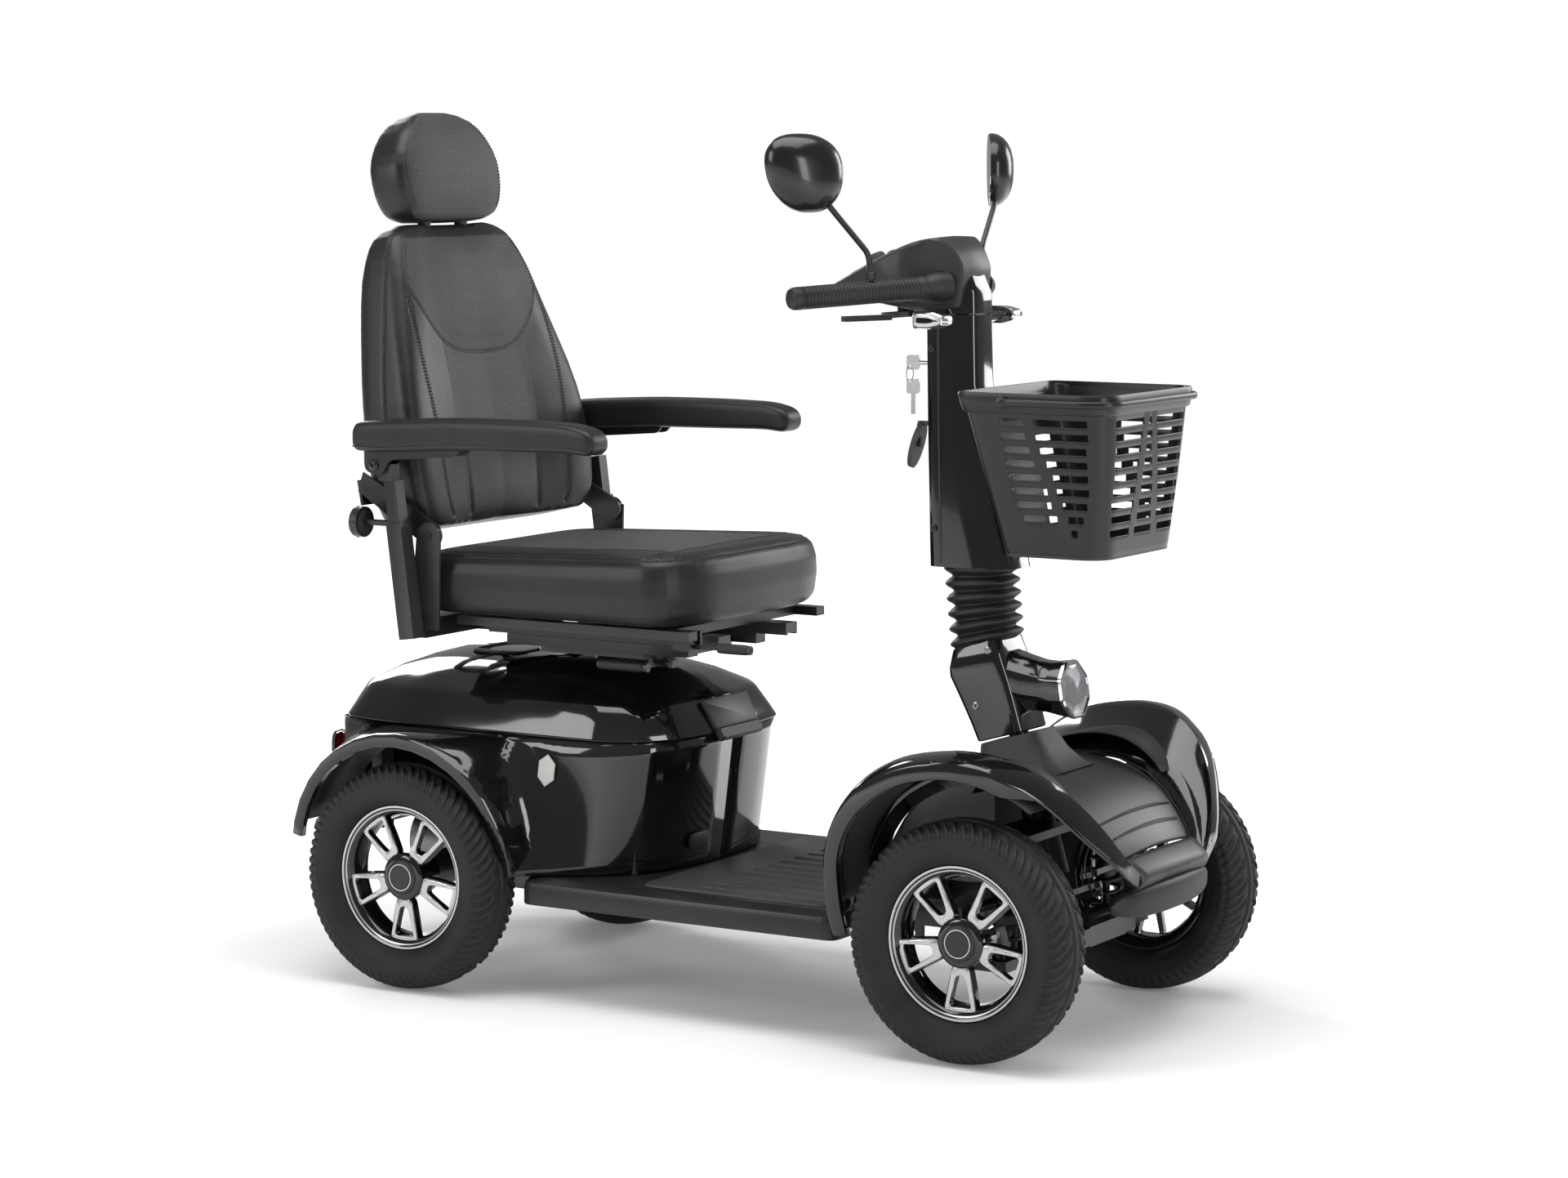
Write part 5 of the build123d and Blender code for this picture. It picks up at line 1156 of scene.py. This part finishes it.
def puff(obj, seams, held, cap):
    """Remesh, blow up with seams and held parts pinned, cap the travel, subdivide once, sew channels.
    A seam is its line, the depth of its channel and the channel's width."""
    select(obj)
    mod = obj.modifiers.new("re", "REMESH")
    mod.mode = "VOXEL"
    mod.voxel_size = 5 * MM
    mod.use_smooth_shade = True
    bpy.ops.object.modifier_apply(modifier=mod.name)
    mesh = obj.data
    trees = [near(p) for p, _, _ in seams]
    rest = [v.co.copy() for v in mesh.vertices]
    group = obj.vertex_groups.new(name="held")
    for v in mesh.vertices:
        fixed = 1.0 if held(v.co * M) else 0.0
        for tree in trees:
            fixed = max(fixed, 1 - smoothstep(0.004, 0.009, tree.find(v.co)[2]))
        if fixed > 0:
            group.add([v.index], fixed, "REPLACE")
    mod = obj.modifiers.new("cloth", "CLOTH")
    st = mod.settings
    st.quality = 4
    st.mass = 0.25
    st.tension_stiffness = st.compression_stiffness = 12
    st.shear_stiffness = 6
    st.bending_stiffness = 1.5
    st.vertex_group_mass = "held"
    st.use_pressure = True
    st.uniform_pressure_force = 4
    st.effector_weights.gravity = 0
    mod.collision_settings.use_collision = False
    scene = bpy.context.scene
    for f in range(1, 21):
        scene.frame_set(f)
    deps = bpy.context.evaluated_depsgraph_get()
    moved = [v.co.copy() for v in obj.evaluated_get(deps).data.vertices]
    obj.modifiers.remove(mod)
    scene.frame_set(1)
    normals = [v.normal.copy() for v in mesh.vertices]
    swell = []
    for a, b, out in zip(rest, moved, normals):
        d = b - a
        d -= out * min(0, d.dot(out)) * 0.8
        swell.append(d)
    swell = calm(mesh, np.array(swell), 40)
    for v, a, d in zip(mesh.vertices, rest, swell):
        d = Vector(d)
        if d.length > cap * MM:
            d = d.normalized() * cap * MM
        v.co = a + d
    mod = obj.modifiers.new("sub", "SUBSURF")
    mod.levels = 1
    bpy.ops.object.modifier_apply(modifier=mod.name)
    # sewn channels
    normals = [v.normal.copy() for v in mesh.vertices]
    shift = [0.0] * len(mesh.vertices)
    for tree, (_, depth, width) in zip(trees, seams):
        if depth:
            for v in mesh.vertices:
                d = tree.find(v.co)[2] * M
                if d < 3 * width:
                    shift[v.index] = max(shift[v.index], depth * 2.718 ** (-(d / width) ** 2))
    for v in mesh.vertices:
        v.co -= normals[v.index] * shift[v.index] * MM
    mesh.shade_smooth()


TREES = {}


def surface(obj):
    """Search tree over a cushion's faces, made once."""
    if obj.name not in TREES:
        TREES[obj.name] = BVHTree.FromPolygons([v.co.copy() for v in obj.data.vertices],
                                               [tuple(p.vertices) for p in obj.data.polygons])
    return TREES[obj.name]


def stitches(name, obj, path, body, gap, sides=(-1, 1)):
    """Rows of short thread stitches that follow the surface on each side of a seam."""
    bvh = surface(obj)
    verts, faces = [], []
    for side_k in sides:
        line = resample(path, max(8, int(path_length(path) / 5.2)))
        for i in range(1, len(line) - 1):
            loc, nor, _, _ = bvh.find_nearest(line[i] * MM)
            d = (line[i + 1] - line[i - 1]).normalized()
            d = (d - nor * d.dot(nor)).normalized()
            across_v = nor.cross(d)
            c = loc * M + across_v * gap * side_k
            loc2, nor2, _, _ = bvh.find_nearest(c * MM)
            c = loc2 * M + nor2 * 0.35
            base = len(verts)
            for along_v, w in ((-1.7, 0.25), (-1.1, 0.55), (1.1, 0.55), (1.7, 0.25)):
                lift = 0.25 if abs(along_v) < 1.5 else -0.35
                verts += [c + d * along_v + across_v * w * ca + nor2 * (w * sa + lift) for ca,
                          sa in circle(6)]
            for r in range(base, base + 18, 6):
                faces += [(r + k, r + (k + 1) % 6, r + 6 + (k + 1) % 6, r + 6 + k) for k in range(6)]
    mesh = bpy.data.meshes.new(name)
    mesh.from_pydata([v * MM for v in verts], [], faces)
    mesh.materials.append(THREAD)
    mesh.shade_smooth()
    made = bpy.data.objects.new(name, mesh)
    bpy.context.collection.objects.link(made)
    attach(made, body)


def path_length(path):
    return sum((Vector(b) - Vector(a)).length for a, b in zip(path, path[1:]))


def welt(name, obj, path, body, r=1.5):
    """Thin folded seam laid on the surface."""
    bvh = surface(obj)
    pts = []
    for p in resample(path, max(10, int(path_length(path) / 7))):
        loc, nor, _, _ = bvh.find_nearest(p * MM)
        pts.append(loc * M - nor * 0.9)
    tube(name, pts, r, LEATHER, n=10, smooth_path=False, body=body, slot="seat_vinyl")


def two_tone(obj, inside):
    """Woven cloth on the faces that inside() picks."""
    obj.data.materials.append(WOVEN)
    for p in obj.data.polygons:
        if inside(p.center * M, p.normal):
            p.material_index = 1


# seat cushion
def seat_ring(z, inset, lean):
    x0, x1, half = -505 + inset, 4 - inset, 240 - inset
    pts = rounded([(x0, -half), (x1 - 34, -half), (x1, -half * 0.66), (x1 + 6, 0), (x1, half * 0.66),
                   (x1 - 34, half), (x0, half)], [60, 90, 70, 60, 70, 90, 60], 8)
    return [(p.x, p.y, z + lean * (p.x + 225) * 0.035) for p in resample(pts, 96, True)]


rings = [seat_ring(z, inset, lean) for z, inset, lean in
         ((583, 60, 0), (584, 22, 0), (588, 10, 0), (600, 3, 0), (628, 0, 0.3), (655, 1, 0.6), (672, 6, 1),
          (682, 15, 1), (687, 30, 1), (689, 80, 1), (690, 150, 1))]
seat = loft("seat_pad", rings, LEATHER)


def seat_top(x):
    return 686 + (x + 225) * 0.035


loop = [(p[0], p[1], seat_top(p[0]) - 4) for p in seat_ring(680, 14, 0)]
wave = [(-42 - 30 * cos(pi * k / 12) ** 2 + 14 * cos(2 * pi * k / 12), -205 + 410 * k / 24, 0)
        for k in range(25)]
wave = [(x if abs(y) < 195 else x - 10, y, seat_top(x) + 3) for x, y, _ in wave]
left_in = [(x, 148 + 10 * sin((x + 440) / 400 * pi), seat_top(x) + 3) for x in range(-466, -52, 20)]
right_in = [(x, -y, z) for x, y, z in left_in]
loop = loop + [loop[0]]
puff(seat, [(loop, 2.6, 3.0), (wave, 2.4, 3.0), (left_in, 2.2, 3.0), (right_in, 2.2, 3.0)],
     lambda p: p.z < 592, 12.0)
two_tone(seat, lambda p, n: n.z > 0.5 and abs(p.y) < 148 + 10 * sin((p.x + 440) / 400 * pi)
         and p.x < interp([(y, x) for x, y, _ in wave], p.y) and p.x > -466)
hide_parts("seat_cushion")
for nm, pth in (("seat_edge", loop), ("seat_front", wave), ("seat_left", left_in), ("seat_right", right_in)):
    welt(f"welt_{nm}", seat, pth, "seat")
    stitches(f"stitch_{nm}", seat, pth, "seat", gap=4.2, sides=(-1, 1) if nm == "seat_edge" else (1,))
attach(seat, "seat")

# backrest
LEAN_B = radians(10)
BU = Vector((-sin(LEAN_B), 0, cos(LEAN_B)))
BF = Vector((cos(LEAN_B), 0, sin(LEAN_B)))
BO = Vector((-466, 0, 716))


def on_back(h, y, depth):
    """Point at a height up the back, a distance from the middle plane, and a depth behind its front."""
    return BO + BU * h - BF * depth + Vector((0, y, 0))


BACK_HALF = [(0, 206), (12, 226), (40, 241), (80, 247), (150, 246), (220, 236), (300, 216), (380, 193),
             (430, 176), (458, 161), (474, 141), (483, 110)]
BACK_THICK = [(0, 62), (20, 78), (80, 88), (300, 86), (420, 80), (462, 68), (483, 46)]


def back_half(h):
    return curve_lookup(BACK_HALF, h)


def back_ring(h):
    a = back_half(h)
    t = curve_lookup(BACK_THICK, h) + 22 * smoothstep(478, 380, h)
    mid = 56  # depth of the cushion's middle
    wing = 30 * smoothstep(430, 150, h)
    ring = []
    for ca, sa in circle(72):
        y = signed(ca, 0.36) * a
        d = signed(sa, 0.44) * t / 2
        dish = 7 * (1 - min(1, (abs(y) / (a * 0.72)) ** 3)) * (1 if sa < 0 else 0)
        wrap = wing * (abs(y) / a) ** 2.5 * (1 if sa < 0 else 0.25)
        ring.append(on_back(h, y, mid + d + dish - wrap))
    return ring


hs = [0, 4, 12, 25, 45, 80, 120, 160, 200, 240, 280, 320, 360, 400, 430, 450, 464, 476, 483]
back = loft("back_pad", [back_ring(h) for h in hs], LEATHER)


def panel_half(h):
    """Half width of the front panel: near the edge at the top, well inside it low down."""
    return back_half(h) - 14 - 58 * smoothstep(440, 90, h)


def mirrored(path):
    return [Vector((p.x, -p.y, p.z)) for p in path]


def front_depth(h, y):
    return 10 - 30 * smoothstep(430, 150, h) * (abs(y) / back_half(h)) ** 2.5


side_l = [on_back(h, panel_half(h), front_depth(h, panel_half(h))) for h in range(14, 470, 12)]
side_r = mirrored(side_l)
edge_l = [on_back(h, back_half(h) + 1, 40) for h in range(10, 474, 12)]
edge_r = mirrored(edge_l)
yoke = []
for t in (-1 + k / 16 for k in range(33)):
    h = 268 + 118 * abs(t) ** 3.2
    yoke.append(on_back(h, t * panel_half(h), front_depth(h, t * panel_half(h))))
lumbar = [[on_back(h, y * (1 + 0.0006 * h), 8) for h in range(16, 120, 10)] for y in (-92, 92)]
puff(back, [(side_l, 2.6, 3.0), (side_r, 2.6, 3.0), (edge_l, 1.6, 2.6), (edge_r, 1.6, 2.6), (yoke, 2.6, 3.0),
            (lumbar[0], 2.6, 6.0), (lumbar[1], 2.6, 6.0)], lambda p: (p - BO).dot(BF) < -96, 12.0)


def woven_back(p, n):
    h, y = (p - BO).dot(BU), p.y
    if n.dot(BF) < 0.35 or h > 458 or h < 120:
        return False
    edge = panel_half(h)
    if abs(y) > edge:
        return False
    line = 268 + 118 * (abs(y) / max(1, edge)) ** 3.2
    return h > line or abs(y) < edge * 0.62


two_tone(back, woven_back)
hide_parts("backrest")
for nm, pth, sd in (("back_l", side_l, (-1, 1)), ("back_r", side_r, (-1, 1)), ("back_yoke", yoke, (1,)),
                    ("back_edge_l", edge_l, (1,)), ("back_edge_r", edge_r, (-1,))):
    welt(f"welt_{nm}", back, pth, "seat_back", r=1.9)
    stitches(f"stitch_{nm}", back, pth, "seat_back", gap=4.0, sides=sd)
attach(back, "seat_back")

# headrest
HEAD_HALF = [(487, 96), (494, 120), (510, 131), (545, 138), (580, 136), (612, 119), (638, 94), (654, 66),
             (661, 36)]
HEAD_THICK = [(487, 46), (496, 64), (520, 82), (560, 90), (600, 88), (636, 74), (654, 50), (661, 28)]


def head_ring(h):
    a, t = curve_lookup(HEAD_HALF, h), curve_lookup(HEAD_THICK, h)
    return [on_back(h, signed(ca, 0.4) * a, 47 + signed(sa, 0.46) * t / 2) for ca, sa in circle(56)]


headpad = loft("head_pad", [head_ring(h) for h in (487, 490, 496, 506, 520, 535, 555, 575, 595, 615, 630, 644,
                                                   655, 661)], LEATHER)
hl = [on_back(h, curve_lookup(HEAD_HALF, h) - 12, 8) for h in range(498, 656, 8)]
hr = mirrored(hl)
puff(headpad, [(hl, 2.4, 3.0), (hr, 2.4, 3.0)], lambda p: False, 9.0)
two_tone(headpad, lambda p, n: n.dot(BF) > 0.3 and abs(p.y) < curve_lookup(HEAD_HALF, (p - BO).dot(BU)) - 12)
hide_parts("headrest")
for nm, pth in (("head_l", hl), ("head_r", hr)):
    welt(f"welt_{nm}", headpad, pth, "seat_headrest", r=1.3)
    stitches(f"stitch_{nm}", headpad, pth, "seat_headrest", gap=4.0)
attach(headpad, "seat_headrest")
for side_name, sgn in SIDES:
    tube(f"head_stem_{side_name}", [on_back(376, sgn * 50, 48), on_back(514, sgn * 50, 48)], 5.9, CHROME,
         n=24, body="seat_headrest", slot="chrome_steel")
    turned(f"head_guide_{side_name}", [(-8, 9), (0, 11), (4, 10.5), (5.5, 8), (5.5, 6.4)],
           on_back(484, sgn * 50, 48), BU, SOFT,
           n=28, caps=(False, False), body="seat_back", slot="soft_grey")

# --- CAD pieces that stay: a finish for each, softened edges -------------------------------------------
KEPT = {"frame": STEEL, "batteries": PLAIN, "transaxle": CAST, "steering_shaft": STEEL, "tiller_stem": STEEL,
        "seat_post": CHROME, "swivel_plate": STEEL, "swivel_lever": STEEL, "seat_frame": STEEL,
        "slide_lever": STEEL, "back_frame": STEEL, "key": PLATED, "throttle_lever": RUBBER,
        "tilt_lever": SOFT}
for side_name, _ in SIDES:
    for part, mat in (("armrest_post", STEEL), ("front_arm", STEEL), ("knuckle", CAST), ("tie_rod", PLATED)):
        KEPT[f"{part}_{side_name}"] = mat
for node, mat in KEPT.items():
    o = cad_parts[node]
    if o.hide_render:
        continue
    o.data.materials.clear()
    o.data.materials.append(mat)
    mod = o.modifiers.new("edge", "BEVEL")
    mod.width = 0.8 * MM
    mod.segments = 2
    mod.limit_method = "ANGLE"
    mod.angle_limit = radians(40)
    mod.harden_normals = False

# --- studio ---------------------------------------------------------------------------------------------
ground = bpy.data.meshes.new("floor")
ground.from_pydata([(9 * x, 9 * y, 0) for x, y in circle(64)], [], [tuple(range(64))])
floor_obj = bpy.data.objects.new("studio_floor", ground)
bpy.context.collection.objects.link(floor_obj)
paper = shader("studio_white", (0.86, 0.86, 0.86), 0.85, spots=0.0, grain=30, bump=0.0, spec=0.1)
ground.materials.append(paper)
tree = paper.node_tree
coords = add_node(tree, "TexCoord")
spread = add_node(tree, "Mapping", Scale=(0.34, 0.34, 0.34))
fade = add_node(tree, "TexGradient")
fade.gradient_type = "SPHERICAL"
glow = add_node(tree, "MapRange", From_Min=0.7, From_Max=0.0, To_Min=0.12, To_Max=1.0)
tree.links.new(coords.outputs["Object"], spread.inputs["Vector"])
tree.links.new(spread.outputs[0], fade.inputs["Vector"])
tree.links.new(fade.outputs["Fac"], glow.inputs["Value"])
tree.links.new(glow.outputs[0], tree.nodes["Principled BSDF"].inputs["Emission Strength"])
tree.nodes["Principled BSDF"].inputs["Emission Color"].default_value = (1, 1, 1, 1)

world = bpy.data.worlds.new("studio")
bpy.context.scene.world = world
world.use_nodes = True
air = world.node_tree
soft = air.nodes["Background"]
soft.inputs["Color"].default_value = (1, 1, 1, 1)
soft.inputs["Strength"].default_value = 0.26
page = add_node(air, "Background", Color=(1, 1, 1, 1), Strength=1.05)
path = add_node(air, "LightPath")
mixer = add_node(air, "MixShader")
air.links.new(path.outputs["Is Camera Ray"], mixer.inputs[0])
air.links.new(soft.outputs[0], mixer.inputs[1])
air.links.new(page.outputs[0], mixer.inputs[2])
air.links.new(mixer.outputs[0], air.nodes["World Output"].inputs["Surface"])


def lamp(name, pos, target, size, power, size_y):
    light = bpy.data.lights.new(name, "AREA")
    light.shape = "RECTANGLE"
    light.size, light.size_y = size, size_y
    light.energy = power
    o = bpy.data.objects.new(name, light)
    bpy.context.collection.objects.link(o)
    o.location = pos
    o.rotation_euler = (Vector(target) - Vector(pos)).to_track_quat("-Z", "Y").to_euler()


lamp("top", (0.2, -0.4, 3.6), (0, 0, 0.4), 3.4, 105, 2.2)
lamp("key_side", (-2.2, -3.6, 2.4), (0, 0, 0.6), 1.4, 60, 2.2)
lamp("front_strip", (4.2, -1.4, 1.6), (0.3, 0, 0.5), 0.8, 48, 2.4)
lamp("back_strip", (-3.4, 2.4, 2.0), (-0.2, 0, 0.6), 1.0, 60, 2.4)
lamp("far_side", (1.8, 4.0, 2.0), (0.1, 0, 0.5), 1.6, 70, 2.0)

cam = bpy.data.cameras.new("camera")
cam.lens = 91.02
cam.sensor_width = 36
cam.clip_end = 60
cam_obj = bpy.data.objects.new("camera", cam)
bpy.context.collection.objects.link(cam_obj)
AZ, PT = 0.542, 0.115  # round from the side and up, in radians
back_v = Vector((sin(AZ) * cos(PT), -cos(AZ) * cos(PT), sin(PT)))
cam_obj.location = (3.1904, -5.2214, 1.3316)
cam_obj.rotation_euler = (-back_v).to_track_quat("-Z", "Y").to_euler()
bpy.context.scene.camera = cam_obj
bpy.context.scene.view_settings.view_transform = "Standard"
